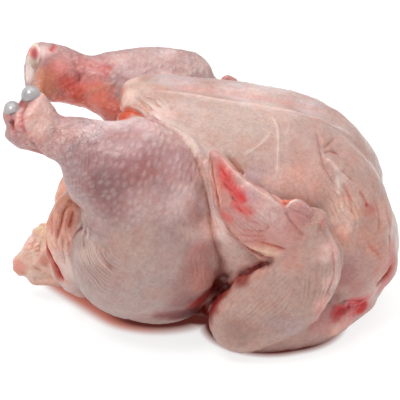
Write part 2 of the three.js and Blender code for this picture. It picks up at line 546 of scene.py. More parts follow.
@dataclass
class Flesh:
    """The carcass's mesh as arrays, in metres, with the moves and paints that shape and colour it."""

    obj: bpy.types.Object
    points: np.ndarray = field(init=False)
    edges: np.ndarray = field(init=False)
    normals: np.ndarray = field(init=False)
    tint: np.ndarray = field(init=False)
    pits: np.ndarray = field(init=False)
    pit_map: np.ndarray = field(init=False)
    net: np.ndarray = field(init=False)
    ripple: np.ndarray = field(init=False)
    ripple_weight: np.ndarray = field(init=False)
    seams: np.ndarray = field(init=False)

    def __post_init__(self) -> None:
        """Reads the arrays from the mesh."""
        mesh = self.obj.data
        self.points = np.empty(len(mesh.vertices) * 3)
        mesh.vertices.foreach_get("co", self.points)
        self.points = self.points.reshape(-1, 3)
        self.edges = np.empty(len(mesh.edges) * 2, int)
        mesh.edges.foreach_get("vertices", self.edges)
        self.edges = self.edges.reshape(-1, 2)
        self.tint = np.ones((len(self.points), 3))
        self.pits, self.net, self.ripple, self.ripple_weight = (np.zeros(len(self.points)) for _ in range(4))
        self.pit_map = np.zeros((len(self.points), 3))
        self.seams = np.zeros((SEAM_LAYERS, len(self.points), 3))
        self.seams[:, :, 0] = NO_SEAM
        self.refresh()

    def write(self) -> None:
        """Puts the points back into the mesh."""
        self.obj.data.vertices.foreach_set("co", self.points.ravel())
        self.obj.data.update()

    def refresh(self) -> None:
        """Writes the points and reads the normals that they give."""
        self.write()
        normals = np.empty(len(self.points) * 3)
        self.obj.data.vertex_normals.foreach_get("vector", normals)
        self.normals = normals.reshape(-1, 3)

    def relax(self, weight: np.ndarray | float, rounds: int) -> None:
        """Moves points towards the mean of their neighbours by weight, in so many rounds."""
        share = np.broadcast_to(np.asarray(weight, float), len(self.points))
        moved = share > 1e-3
        edges = self.edges[moved[self.edges].any(1)]
        used, local = np.unique(edges, return_inverse=True)
        a, b = local.reshape(-1, 2).T
        count = len(used)
        degree = np.bincount(a, minlength=count) + np.bincount(b, minlength=count)
        pull = np.where(moved[used], share[used] / degree, 0)[:, None]
        spots = self.points[used]
        for _ in range(rounds):
            sums = [np.bincount(a, c[b], count) + np.bincount(b, c[a], count) for c in spots.T]
            spots += pull * (np.stack(sums, axis=1) - degree[:, None] * spots)
        self.points[used] = spots

    def near(self, x: float, y: float, z: float, radius: float, core: float = 0.0) -> np.ndarray:
        """1 within core millimetres of a place, falling smoothly to 0 at the radius."""
        distance = np.linalg.norm(self.points / MM - (x, y, z), axis=1)
        return smooth_step((radius - distance) / (radius - core))

    def swell(self, x: float, y: float, z: float, radius: float, height: float) -> None:
        """Raises the skin round a place along its normals, in millimetres."""
        self.points += self.normals * (self.near(x, y, z, radius) * height * MM)[:, None]

    def pull(self, place: Place, radius: float, by: Place) -> None:
        """Drags the flesh round a place, in millimetres."""
        self.points += self.near(*place, radius)[:, None] * np.array(by) * MM

    def blend(self, tone: Tone, share: np.ndarray, where: np.ndarray | slice = slice(None)) -> None:
        """Mixes a tone into the tint of some points, by share."""
        self.tint[where] += np.clip(share, 0, 1)[:, None] * (np.array(srgb(*tone)) - self.tint[where])

    def enclosed(self, reach: float) -> np.ndarray:
        """The share of the view from each point that other flesh hides, within so many millimetres."""
        tree = BVHTree.FromObject(self.obj, bpy.context.evaluated_depsgraph_get())
        side = np.cross(self.normals, (0.3, 0.5, 0.8))
        side /= np.linalg.norm(side, axis=1)[:, None]
        third = np.cross(self.normals, side)
        starts = self.points + self.normals * 0.5 * MM
        hidden = np.zeros(len(self.points))
        slanted = [(60, turn) for turn in range(0, 360, 72)]
        steep = [(28, turn) for turn in range(30, 360, 120)]
        rays = [(math.radians(tilt), math.radians(turn)) for tilt, turn in slanted + steep]
        for tilt, turn in rays:
            across = side * math.cos(turn) + third * math.sin(turn)
            ways = self.normals * math.cos(tilt) + across * math.sin(tilt)
            pairs = zip(starts.tolist(), ways.tolist())
            found = (tree.ray_cast(start, way, reach * MM)[3] for start, way in pairs)
            hidden += np.fromiter((distance is not None for distance in found), float, len(hidden))
        degree = np.bincount(self.edges.ravel(), minlength=len(hidden))
        for _ in range(4):
            a, b = self.edges.T
            total = np.bincount(a, hidden[b], len(hidden)) + np.bincount(b, hidden[a], len(hidden))
            hidden = (hidden + total) / (1 + degree)
        return hidden / len(rays)

    def deepen(self, reach: float) -> None:
        """Paints shade, dark and red, where the flesh lies between folds and other flesh hides its view."""
        hidden = self.enclosed(reach)
        # painted shade: a little darker and redder where partly hidden, dark red where deeply hidden
        self.tint *= 1 - smooth_step((hidden - 0.2) / 0.4)[:, None] * (0.02, 0.16, 0.2)
        self.blend((112, 14, 8), 0.85 * smooth_step((hidden - 0.5) / 0.4))

    def store(self) -> None:
        """Keeps the paint as attributes of the mesh."""
        attributes = self.obj.data.attributes
        colours = np.column_stack([self.tint, np.ones(len(self.tint))])
        attributes.new("tint", "FLOAT_COLOR", "POINT").data.foreach_set("color", colours.ravel())
        for name in ("pits", "net", "ripple", "ripple_weight"):
            attributes.new(name, "FLOAT", "POINT").data.foreach_set("value", getattr(self, name))
        maps = {"pit_map": self.pit_map} | {f"seam_{i}": seam for i, seam in enumerate(self.seams)}
        for name, rows in maps.items():
            attributes.new(name, "FLOAT_VECTOR", "POINT").data.foreach_set("vector", rows.ravel())

    def wrap(self, start: Place, end: Place, stretch: float) -> None:
        """Lays a flat map round the axis of a leg, in millimetres: round it by stretch, and along it."""
        axis = (Vector(end) - Vector(start)).normalized()
        across = axis.cross(Vector(UP)).normalized()
        side = self.points[:, 1] * start[1] > 0
        offset = self.points[side] / MM - start
        angle = np.arctan2(offset @ np.array(across), offset @ np.array(across.cross(axis)))
        seam_width = 0.4
        self.pits[side] *= smooth_step((math.pi - np.abs(angle)) / seam_width)
        along = offset @ np.array(axis)
        slimmest, widest = 14, 26
        reach = np.clip(np.linalg.norm(offset - np.outer(along, axis), axis=1), slimmest, widest)
        self.pit_map[side] = np.column_stack([angle * reach * stretch, along, 0 * angle])

    def off_path(self, path: np.ndarray, reach: float) -> tuple[np.ndarray, np.ndarray, np.ndarray]:
        """How far points lie from a path, measured along the skin, with a sign for the side.

        Args:
            path: one row per corner, in millimetres, on or near the skin.
            reach: points farther than this many millimetres are left out.

        Returns:
            The indices of the points in reach, their signed distances and their shares along the path.
        """
        low, high = (path.min(0) - reach) * MM, (path.max(0) + reach) * MM
        found = np.flatnonzero(((self.points > low) & (self.points < high)).all(1))
        spots, facing = self.points[found] / MM, self.normals[found]
        steps = np.linalg.norm(np.diff(path, axis=0), axis=1)
        starts = np.concatenate([[0], np.cumsum(steps)]) / steps.sum()
        best = np.full(len(found), np.inf)
        deepest = 6
        side, share = np.ones(len(found)), np.zeros(len(found))
        for i, (a, b) in enumerate(zip(path[:-1], path[1:])):
            along = np.clip((spots - a) @ (b - a) / steps[i] ** 2, 0, 1)
            offset = spots - (a + along[:, None] * (b - a))
            sunk = (offset * facing).sum(1)
            distance = np.sqrt(np.maximum((offset**2).sum(1) - np.minimum(sunk**2, deepest**2), 0))
            closer = distance < best
            best = np.where(closer, distance, best)
            share = np.where(closer, starts[i] + along * (starts[i + 1] - starts[i]), share)
            behind = (np.cross(facing, b - a) * offset).sum(1) < 0
            side = np.where(closer, np.where(behind, -1, 1), side)
        kept = best < reach
        return found[kept], (best * side)[kept], share[kept]


@dataclass(frozen=True)
class View:
    """The main view: where its camera looks, and from how far off and how high.

    Attributes:
        target: the place in the middle of the picture, in millimetres.
        distance: from the target to the camera, in millimetres.
        elevation: how high the camera stands, in degrees.
        lens: focal length, in millimetres.
        sensor: width of the sensor, in millimetres.
        picture: width and height of the picture, in pixels.
    """

    target: Place = (0.0, 0.0, 60.7)
    distance: float = 782.0
    elevation: float = 24.0
    lens: float = 130.06
    sensor: float = 36.0
    picture: float = 400.0

    def away(self) -> Place:
        """The way from the target to the camera."""
        lift = math.radians(self.elevation)
        return (0.0, -math.cos(lift), math.sin(lift))


MAIN_VIEW = View()


class Sight:
    """The skin as the main view sees it, which finds the places that lie under spots of its picture.

    The view is a set of fixed numbers, so the places don't depend on the camera that renders.

    Attributes:
        reach: how near to a spot the skin's points have to lie to count, in pixels.
        fewest: how many of the nearest points count where none lies so near.
        front_layer: how far behind the foremost of them a point may lie, in millimetres.
        flattest: the least slope of the skin to the line of sight that a place can slide on.
    """

    reach: float = 2.2
    fewest: int = 4
    front_layer: float = 4.0
    flattest: float = 0.15

    def __init__(self, flesh: Flesh, view: View = MAIN_VIEW) -> None:
        """Keeps the points of the skin that face the view, their spots and how far off they are."""
        self.eye = np.array(view.target) + np.array(view.away()) * view.distance
        self.ahead = -np.array(view.away())
        self.across = np.array((1.0, 0.0, 0.0))
        self.up = np.cross(self.across, self.ahead)
        self.middle = view.picture / 2
        self.scale = view.lens / view.sensor * view.picture
        places = flesh.points / MM
        facing = ((self.eye - places) * flesh.normals).sum(1) > 0
        self.places, self.normals = places[facing], flesh.normals[facing]
        offset = self.places - self.eye
        self.depth = offset @ self.ahead
        right = self.scale * (offset @ self.across) / self.depth
        up = self.scale * (offset @ self.up) / self.depth
        self.spots = np.column_stack([self.middle + right, self.middle - up])

    def ray(self, spot: tuple[float, float]) -> np.ndarray:
        """The way from the camera through a spot."""
        right, down = spot[0] - self.middle, spot[1] - self.middle
        return self.ahead + (self.across * right - self.up * down) / self.scale

    def place(self, anchor: Anchor) -> Place:
        """Carries a spot onto the skin.

        Args:
            anchor: a spot, or a place with all its three numbers, which stays as it is.

        Returns:
            The place in millimetres: on the spot's line of sight, level with the skin round it.
        """
        if len(anchor) == 3:
            return anchor
        gaps = ((self.spots - anchor) ** 2).sum(1)
        found = np.flatnonzero(gaps <= self.reach**2)
        if not len(found):
            found = np.argpartition(gaps, self.fewest)[: self.fewest]
        front = found[self.depth[found] < self.depth[found].min() + self.front_layer]
        weight = np.exp((gaps[front].min() - gaps[front]) / 2)
        place = weight @ self.places[front] / weight.sum()
        normal = weight @ self.normals[front]
        normal /= np.linalg.norm(normal)
        ray = self.ray(anchor)
        if abs(ray @ normal) > self.flattest:
            place = self.eye + ray * ((place - self.eye) @ normal) / (ray @ normal)
        return tuple(place)


class Profile(Enum):
    """The cross-section of a line in the skin."""

    CREASE = "crease"
    FOLD = "fold"
    CORD = "cord"


@dataclass(frozen=True)
class SkinLine:
    """A crease, fold or cord that runs over the skin along a smooth path.

    Attributes:
        path: the corners of the path.
        width: half width, in millimetres.
        depth: how deep a crease or how high a cord is, in millimetres.
        tone: the colour painted along the line, if any; along most creases it is painted shade in the groove.
        strength: how strongly the line is coloured.
        spread: half width of the colour, in millimetres.
        core: how strongly its thin core shows.
        taper: share of the length over which each end fades.
        fine: half width of the core, in millimetres.
        profile: its cross-section.
        both_sides: whether the bird's other side has the same line.
    """

    path: tuple[Anchor, ...]
    width: float = 1.5
    depth: float = 0.0
    tone: Tone | None = None
    strength: float = 0.6
    spread: float = 1.5
    core: float = 0.45
    taper: float = 0.25
    fine: float = 0.55
    profile: Profile = Profile.CREASE
    both_sides: bool = True

    def on(self, sight: Sight) -> "SkinLine":
        """The line with its path on the skin."""
        return replace(self, path=tuple(sight.place(corner) for corner in self.path))

    def smooth_paths(self) -> list[np.ndarray]:
        """The path with a corner every few millimetres, for each side that has the line."""
        corners = np.array(self.path, float)
        length = np.linalg.norm(np.diff(corners, axis=0), axis=1).sum()
        steps = max(4, int(length / CORNER_STEP))
        path = np.array([curve_at(corners, t) for t in np.linspace(0, 1, steps + 1)])
        return [path, path * MIRRORED] if self.both_sides else [path]

    def fade(self, share: np.ndarray) -> np.ndarray:
        """How full the line is at each share of its length."""
        return smooth_step(share / self.taper) * smooth_step((1 - share) / self.taper)

    def colour(self, flesh: Flesh) -> None:
        """Paints the line's tone, which along most creases is painted shade."""
        if self.tone is None:
            return
        for path in self.smooth_paths():
            found, distance, share = flesh.off_path(path, self.spread * COLOUR_REACH)
            middle = np.exp(-((distance / self.spread) ** 2))
            flesh.blend(self.tone, middle * self.fade(share) * self.strength, found)

    def mark(self, flesh: Flesh, layer: int) -> None:
        """Writes the line's thin core into one layer of seams: dark in a crease, for painted shade, pale on a
        cord.
        """
        sign = -1 if self.profile is Profile.CORD else 1
        for path in self.smooth_paths():
            found, distance, share = flesh.off_path(path, SEAM_REACH)
            seam = flesh.seams[layer]
            nearer = np.abs(distance) < np.abs(seam[found, 2]) + NO_SEAM * (seam[found, 1] == 0)
            found, distance, share = found[nearer], distance[nearer], share[nearer]
            weight = smooth_step((3.5 - np.abs(distance)) / 1.5) * self.fade(share) * self.core * sign
            seam[found] = np.column_stack([distance / self.fine, weight, distance])

    def press(self, flesh: Flesh) -> None:
        """Moves the skin to form the line."""
        if self.depth:
            for path in self.smooth_paths():
                self.press_path(flesh, path)

    def press_path(self, flesh: Flesh, path: np.ndarray) -> None:
        """Moves the skin along one path."""
        found, distance, share = flesh.off_path(path, self.width * PRESS_REACH)
        fade = self.fade(share)
        ratio = distance / self.width
        middle = np.exp(-(ratio**2))
        if self.profile is Profile.CREASE:
            rise = -middle
        elif self.profile is Profile.FOLD:
            rise = -np.exp(-((ratio * 1.5) ** 2)) + 0.6 * np.exp(-((ratio - 1.3) ** 2) * 1.5)
        else:
            rise = middle
        flesh.points[found] += flesh.normals[found] * (rise * fade * self.depth * MM)[:, None]


def crease(route: str, *settings: object, **others: object) -> SkinLine:
    """A skin line with its settings in their order.

    Args:
        route: its path as text with blanks between corners: a spot is across,down, and a corner beside
            an edge, where its spot could fall on the wrong side, is a place x,y,z.
        settings: width, depth, tone, strength, spread and core.
        others: further settings by name.

    Returns:
        The line.
    """
    path = tuple(tuple(float(number) for number in corner.split(",")) for corner in route.split())
    return SkinLine(path, *settings, **others)


def cord(route: str, *settings: object, **others: object) -> SkinLine:
    """The same for a line that stands up from the skin."""
    return crease(route, *settings, **others, profile=Profile.CORD)


@dataclass(frozen=True)
class Bulge:
    """A small rise, or a dent if its height is negative, in millimetres."""

    place: Anchor
    radius: float
    height: float
    both_sides: bool = True

    def on(self, sight: Sight) -> "Bulge":
        """The bulge with its place on the skin."""
        return replace(self, place=sight.place(self.place))

    def press(self, flesh: Flesh) -> None:
        """Moves the skin to form the bulge."""
        x, y, z = self.place
        for side in (1, -1) if self.both_sides else (1,):
            flesh.swell(x, side * y, z, self.radius, self.height)


@dataclass(frozen=True)
class Grain:
    """The lumps of one limb's skin: how wide they are and how far they rise, in millimetres."""

    size: float
    height: float

    def press(self, flesh: Flesh, share: np.ndarray, seed: int) -> None:
        """Raises the lumps where the limb's share of the skin is high."""
        fine_lumps = 0.5 * lattice_noise(flesh.points, self.size / 2, seed + 1)
        lumps = lattice_noise(flesh.points, self.size, seed) + fine_lumps
        flesh.points += flesh.normals * (share * lumps * self.height * MM)[:, None]


@dataclass(frozen=True)
class Ripple:
    """Fine parallel wrinkles, drawn as rings round a centre that may lie far off the skin.

    Attributes:
        place: the middle of the wrinkled patch.
        radius: the patch's reach, in millimetres.
        centre: the middle of the rings.
        spacing: the distance between wrinkles, in millimetres.
        strength: how strongly they show.
        both_sides: whether the bird's other side has the same wrinkles.
    """

    place: Anchor
    radius: float
    centre: Anchor
    spacing: float
    strength: float
    both_sides: bool = True

    def on(self, sight: Sight) -> "Ripple":
        """The wrinkles with their places on the skin."""
        return replace(self, place=sight.place(self.place), centre=sight.place(self.centre))

    def mark(self, flesh: Flesh) -> None:
        """Writes the wrinkles' phase and weight."""
        for side in (1, -1) if self.both_sides else (1,):
            middle = np.array(self.place) * (1, side, 1)
            away = np.linalg.norm(flesh.points / MM - middle, axis=1) / self.radius
            weight = smooth_step((1 - away) / 0.6) * self.strength
            rings = np.linalg.norm(flesh.points / MM - np.array(self.centre) * (1, side, 1), axis=1)
            rings = rings / self.spacing + 0.5 * lattice_noise(flesh.points, 6, 21)
            stronger = weight > flesh.ripple_weight
            flesh.ripple[stronger] = rings[stronger]
            flesh.ripple_weight[stronger] = weight[stronger]


@dataclass(frozen=True)
class Blotch:
    """A patch of colour with a ragged, soft edge.

    Attributes:
        place: its middle.
        radius: its reach, in millimetres.
        tone: its colour.
        strength: how much of its colour the middle takes.
        core: share of the radius that is at full strength.
        both_sides: whether the bird's other side has the same patch.
        ragged: how far its edge wanders, as a share of the radius.
    """

    place: Anchor
    radius: float
    tone: Tone
    strength: float
    core: float
    both_sides: bool = True
    ragged: float = 0.25

    def on(self, sight: Sight) -> "Blotch":
        """The patch with its place on the skin."""
        return replace(self, place=sight.place(self.place))

    def colour(self, flesh: Flesh, noise: np.ndarray) -> None:
        """Paints the patch, with the edge moved by the noise."""
        wander = 1 + self.ragged * noise
        for side in (1, -1) if self.both_sides else (1,):
            middle = np.array(self.place) * (1, side, 1)
            distance = np.linalg.norm(flesh.points / MM - middle, axis=1) * wander / (1.35 * self.radius)
            flesh.blend(self.tone, smooth_step((1 - distance) / (1 - self.core)) * self.strength)


def blotches(**rows: tuple) -> dict[str, Blotch]:
    """Patches of colour by name, from rows of their settings in order."""
    return {name: Blotch(*row) for name, row in rows.items()}


@dataclass(frozen=True)
class Leather:
    """A patch of skin with a fine net, or one without pits if its strength is negative.

    Attributes:
        place: its middle.
        radius: its reach, in millimetres.
        strength: how strongly the net shows, or the pits fade.
    """

    place: Anchor
    radius: float
    strength: float

    def on(self, sight: Sight) -> "Leather":
        """The patch with its place on the skin."""
        return replace(self, place=sight.place(self.place))

    def mark(self, flesh: Flesh) -> None:
        """Writes the net's weight, or wears the pits away."""
        weight = flesh.near(*self.place, self.radius, self.radius / 3) * self.strength
        flesh.net = np.maximum(flesh.net, weight)
        flesh.pits *= 1 + np.minimum(weight, 0)


# ------------------------------------------------------------------------------ the marks of the skin


SKIN_LINES: dict[str, SkinLine] = {
    "breast_and_leg": crease(
        "116,109 -40,-17,118 130,111 138,114 146,118 154,123 163,128",
        1.2, 2, (214, 104, 72), 0.9, 1.1, taper=0.2, both_sides=False,
    ),
    "drumstick_wrinkle_1": crease(
        "62,122 75,119.5 90,119", 0.9, 0.5, (168, 140, 138), 0.5, 0.6, 0.2, both_sides=False
    ),
    "drumstick_wrinkle_2": crease(
        "60,132 70,126 82,122 96,121", 0.9, 0.5, (168, 140, 138), 0.5, 0.6, 0.2, both_sides=False
    ),
    "drumstick_wrinkle_3": crease(
        "84,128 91,122.5 98,124 104,131 110,134", 0.9, 0.5, (160, 132, 132), 0.5, 0.5, 0.2, both_sides=False
    ),
    "thumb_edge": cord("287,203 292,200.5 300,200.5", 1, 0.8, (232, 210, 202), 0.8, 0.8, 0.6),
    "breast_line_1": cord(
        "268,110 273,117 277,127 278.5,140 278,157 277,176 276,196", 0.9, 0.35, (230, 212, 200), 0.4, 0.7, 0.3
    ),
    "breast_line_2": cord(
        "272,127 268,137 260,145 250,152 241,158", 0.9, 0.35, (230, 214, 202), 0.25, 0.8, 0.3
    ),
    "breast_line_3": cord("289,122 288,130 284,137", 0.9, 0.3, (228, 208, 196), 0.2, 0.7, 0.25),
    "keel_ridge": cord(
        "150,91 180,93 215,99 250,104 290,111 320,119 345,131 357,141",
        1.7, 0.9, (230, 208, 202), 0.6, 1.2, 0.3, taper=0.1, both_sides=False,
    ),
    "keel_groove": crease(
        "165,86 200,90 240,96 275,101 310,108 335,117",
        2.4, 1, (212, 166, 158), 0.6, 2.4, 0, taper=0.15, both_sides=False,
    ),
    "breast_tip_fold_1": crease(
        "133,95 140,102 148,109 157,113", 1.1, 1, (206, 152, 130), 0.6, 0.8, 0.25, both_sides=False
    ),
    "breast_tip_fold_2": crease(
        "143,92 148,99 154,104 163,108", 1.1, 0.8, (206, 158, 138), 0.5, 0.8, 0.25, both_sides=False
    ),
    "breast_tip_fold_3": crease(
        "126,101 137,106 148,112 160,119 172,126", 1.2, 1.1, (214, 158, 134), 0.6, 0.9, 0.25, both_sides=False
    ),
    "far_shank_edge": crease(
        "70,52 74,60 77,70 78,80", 1.2, 0.7, (190, 90, 88), 0.4, 1.2, 0.1, both_sides=False
    ),
    "far_tendon": cord(
        "85,92 98,89 110,85 118,82", 1.6, 0.5, (204, 140, 112), 0.6, 1.4, 0.1, both_sides=False
    ),
    # painted shade: dark red along the shadowed gap under the hand, between the forearm's upper edge and the
    # flank
    "wing_notch": crease(
        "278,258.5 262,265 250,270.5 20,-65,48 14,-65,43 8,-45,26 3,-48,21 200,319",
        2, 5.5, (130, 12, 8), 1, 2.2, 0.5, taper=0.12, fine=1,
    ),
    # painted shade along the fold under the hand's lower edge
    "hand_low_edge": crease(
        "223,222 231,233 242,244 254,252.5 266,257 275,258.5",
        1.2, 2.4, (176, 96, 76), 0.8, 0.9, 0.8, taper=0.1,
    ),
    "far_rim_line": cord(
        "40,44 31,50 27,62 26.5,74 28,84", 1.4, 0.6, (236, 218, 210), 0.8, 2.2, taper=0.1, both_sides=False
    ),
    "far_slit": crease("55,44 53,48 50,53", 1.4, 0.8, (206, 80, 80), 0.95, 1.2, 0.3, both_sides=False),
    "far_crease": crease("80,73 80,79 77,84", 1, 1, (160, 40, 44), 0.8, 0.7, 0.4, both_sides=False),
    "far_fold": crease("88,63 95,68 104,66 112,70", 1.3, 0.7, (190, 96, 90), 0.5, 1, 0.2, both_sides=False),
    "flank_and_hand": crease(
        "212,156 212,165 213,175 216,188 218,203 221,216 227,228 236,237 244,242",
        1, 1.8, (186, 96, 70), 0.8, 0.8, 0.6, taper=0.15,
    ),
    "hand_and_breast": crease(
        "221,151 230,160 20,-49,98 25,-66,100 264,189 274,197 285,207",
        1.2, 1.5, (178, 112, 94), 0.75, 0.9, 0.6, taper=0.15,
    ),
    "hand_rim": cord(
        "219,154 228,164 239,176 251,186 264,195 276,204 284,210",
        1.1, 0.7, (224, 200, 192), 0.8, 1.2, 0.4, taper=0.15,
    ),
    "hand_rim_left": cord("214,160 215,172 218,186 221,200 224,214", 1, 0.5, (228, 170, 148), 0.7, 0.8, 0.3),
    "hand_wrinkle_1": crease("222,181 226,186 230,190 235,193", 0.8, 0.7, (176, 56, 58), 0.6, 0.7, 0.6),
    "hand_wrinkle_2": crease("231,196 234,200 238,203", 0.8, 0.7, (170, 50, 56), 0.6, 0.6, 0.6),
    "hand_wrinkle_3": crease("236,206 240,210 245,213", 0.8, 0.7, (166, 44, 52), 0.6, 0.7, 0.6),
    "hand_wrinkle_4": crease("220,167 223,172 227,178", 0.8, 0.8, (206, 84, 76), 0.7, 0.6, 0.8),
    "hand_wrinkle_5": crease("243,214 248,220 254,222 261,222", 0.8, 0.5, (190, 92, 88), 0.4, 0.6, 0.35),
    "hand_wrinkle_6": crease("269,208 269.5,217 269,226 265,232", 0.9, 0.5, (190, 128, 120), 0.4, 0.6, 0.35),
    "hand_wrinkle_7": crease("240,230 250,230.5 260,231 267,230", 0.8, 0.5, (196, 116, 106), 0.4, 0.6, 0.35),
    "hand_wrinkle_8": crease("236,234 248,236 260,236 268,235", 0.8, 0.5, (196, 120, 108), 0.4, 0.6, 0.35),
    "hand_wrinkle_9": crease("240,240 252,241 262,240 272,238", 0.8, 0.5, (196, 116, 104), 0.4, 0.6, 0.35),
    "hand_fold_low": crease(
        "255,243 266,243 275,246 283,248 288,252", 1.1, 1.4, (206, 104, 78), 0.85, 0.8, 0.6
    ),
    "hand_cream_edge": cord(
        "243,244.5 254,249 266,252.5 277,254.5 286,256", 1.2, 0.6, (226, 190, 166), 0.8, 1.2, 0.4
    ),
    "thumb_crease": crease(
        "285,210 288,217 293,224 299,231 305,238", 1.1, 1.4, (168, 108, 106), 0.45, 0.8, 0.4, taper=0.15
    ),
    "thumb_line_1": crease("289,209 296,211 304,214 312,219", 0.8, 0.5, (176, 120, 118), 0.35, 0.6, 0.3),
    "thumb_line_2": crease("292,214 300,219 308,225", 0.8, 0.5, (186, 134, 130), 0.35, 0.5, 0.3),
    "thumb_line_3": crease("296,206 306,210 316,217", 0.8, 0.5, (182, 126, 124), 0.35, 0.5, 0.3),
    "thumb_notch": crease("283,203 286,204 289,200.5 292,198.5", 1, 2, (196, 96, 70), 0.9, 0.9, 0.5),
    # painted highlight: the white glint along the thumb's rim
    "thumb_rim": cord("286.5,208.5 289,204.5 293,202 298,201.5", 0.8, 0.9, (246, 226, 216), 0.8, 0.6, 0.8),
    "wrist_edge": crease(
        "300,202 309,205 318,211 325,220 331,230 337,243 341,258 341.5,272 340,286 336,301 331,317",
        1.5, 0.3, (190, 120, 110), 0.5, 0.9, 0.2, taper=0.1,
    ),
    "wrist_rim": cord(
        "318,216 325,225 331,236 335,250 336.5,264 335,280 331,294",
        1.6, 0.2, (220, 186, 178), 0.6, 1.6, 0, taper=0.2,
    ),
    "wrist_rim_line": crease(
        "330,244 333,256 334,268 332,281 327,293 321,303", 0.9, 0.5, (190, 116, 110), 0.5, 0.7, 0.5
    ),
    "forearm_web": cord("330,296 324,305 319,314 314,325", 1.4, 0.8, (208, 140, 136), 0.5, 1.6, 0.1),
    "shoulder_crease_1": crease(
        "317,129 318,140 320,151 322,160 324,168 329,176 334,185 337,193",
        1.2, 0.8, (172, 122, 114), 0.55, 0.9, 0.35, taper=0.2,
    ),
    "shoulder_fan_1": crease("321,152 326,147 331,142 336,137", 1, 0.7, (186, 128, 122), 0.5, 0.9, 0.4),
    "shoulder_fan_2": crease("322,154 329,152 335,153 341,156", 1, 0.8, (178, 112, 106), 0.6, 1, 0.5),
    "shoulder_cord": cord(
        "324,159 329,160 333,164 337,169 340,173", 1.4, 0.9, (228, 204, 196), 0.7, 1.2, 0.5
    ),
    "shoulder_streak_1": cord("337,177 339,184 339,192 337,199", 1.2, 0.6, (226, 206, 190), 0.7, 1.2, 0.4),
    "shoulder_crease_2": crease("340,169 346,174 351,180 357,183", 0.9, 0.6, (190, 134, 128), 0.5, 0.7, 0.45),
    "shoulder_crease_3": crease(
        "342,180 345,188 348,194 350,201 352,211 353,219", 1, 0.8, (198, 104, 82), 0.45, 1, 0.2
    ),
    "shoulder_crease_4": crease("358,190 362,195 365,200 368,207", 1, 0.8, (202, 84, 76), 0.5, 0.8, 0.3),
    "neck_streak_1": cord("341,205 341,213 339,221", 1, 0.5, (226, 202, 188), 0.6, 1, 0.4),
    "neck_streak_2": cord("356,212 358,222 357,232", 1, 0.4, (222, 186, 166), 0.5, 1, 0.3),
    "neck_streak_3": crease("372,196 377,208 379,222 378,236", 1, 0.5, (198, 112, 98), 0.5, 0.9, 0.4),
    "neck_streak_4": crease("384,205 388,220 389,238 388,252", 1, 0.5, (200, 110, 94), 0.5, 1, 0.4),
    "neck_streak_5": crease("366,240 371,248 377,253 381,261", 1, 0.4, (202, 104, 84), 0.6, 1.2, 0.4),
    "neck_edge_red": crease("392,262 389,270 384,277 378,283 374,288", 1.2, 1.6, (190, 64, 50), 0.9, 1, 0.8),
    "torn_gap": crease(
        "333,315 341,309 350,306 359,306 368,300", 2, 1.2, (190, 30, 36), 0.9, 2.6, 0.3, taper=0.12
    ),
    "torn_edge_top": crease("335,304 344,301 353,300 362,301 371,294", 1, 0.7, (150, 56, 58), 0.6, 0.9, 0.7),
    "ankle_fold_3": crease(
        "14,134 24,142 34,150 44,156", 0.9, 0.6, (200, 122, 116), 0.5, 0.7, 0.4, both_sides=False
    ),
    "ankle_left": crease("13,119 13,125 14,131", 1, 1, (150, 52, 46), 0.8, 0.8, 0.7, both_sides=False),
    "ankle_ridge": cord("20,112 17,120 17,128", 1, 0.8, (226, 176, 166), 0.6, 0.9, 0.3, both_sides=False),
    "vent_fold_1": crease(
        "70,199 66,207 63,215 61,224 58.5,232 57,240 57.5,247",
        1.2, 1.6, (188, 84, 54), 0.85, 0.8, 0.7, taper=0.15,
    ),
    "vent_fold_2": crease("74,209 72.5,215 71,222 69,230", 1.1, 1.3, (176, 72, 52), 0.8, 0.7, 0.7),
    "vent_fold_3": crease("83,221 -61,-49,67 75,234 71,242", 1.2, 1.8, (132, 58, 46), 0.85, 0.8, 0.8),
    "vent_fold_4": crease("64,232 63,244 64,256 66,266", 1, 0.7, (196, 132, 116), 0.5, 0.7, 0.4),
    "vent_fold_5": crease("69,238 68,250 70,262", 1, 0.7, (196, 132, 116), 0.5, 0.7, 0.4),
    "vent_fold_6": crease("54,205 52,216 52,228 53,240", 1, 0.6, (206, 128, 112), 0.6, 0.9, 0.3),
    "tail_root": crease(
        "46,234 46.5,243 48.5,251 52,258 57,267 61,276 65,283",
        1.3, 2.2, (186, 40, 14), 0.95, 1.1, 0.8, taper=0.15,
    ),
    "tail_crease_1": crease(
        "36,236 33,242 31,250", 0.9, 0.6, (200, 146, 130), 0.5, 0.7, 0.5, both_sides=False
    ),
    "tail_crease_2": crease(
        "42,238 40,246 38,256", 0.9, 0.6, (196, 146, 118), 0.5, 0.7, 0.5, both_sides=False
    ),
    "tail_crease_3": crease(
        "30,262 36,268 44,272", 0.9, 0.5, (196, 128, 114), 0.5, 0.7, 0.4, both_sides=False
    ),
    "fan_1": crease("98,244 100,251 104,259 110,266 118,272", 0.9, 0.7, (184, 140, 122), 0.5, 0.7, 0.6),
    "fan_2": crease("86,227 84,236 85,247 88,258 94,268", 0.9, 0.6, (176, 146, 138), 0.4, 0.6, 0.5),
    "fan_3": crease("100,246 106,249 112,254", 0.9, 0.6, (196, 150, 126), 0.5, 0.8, 0.3),
    "fan_4": cord("91,236 93,247 98,258 105,267 115,275", 0.9, 0.6, (206, 184, 174), 0.5, 0.7, 0.3),
    "fan_5": crease("80,232 79,245 82,258 88,270 98,281 112,289", 0.9, 0.5, (180, 146, 136), 0.4, 0.6, 0.4),
    "knee_fold": crease("84,222 92,230 102,236 114,238", 2.2, 0.9, core=0, profile=Profile.FOLD),
    "drumstick_edge": cord("-75,18,59 70,199 77,211 83,221", 1, 0.6, (192, 176, 178), 0.5, 0.8, 0.2),
    "leg_and_flank_top": crease(
        "145,117 162,125 178,134 190,147 198,165 203,182",
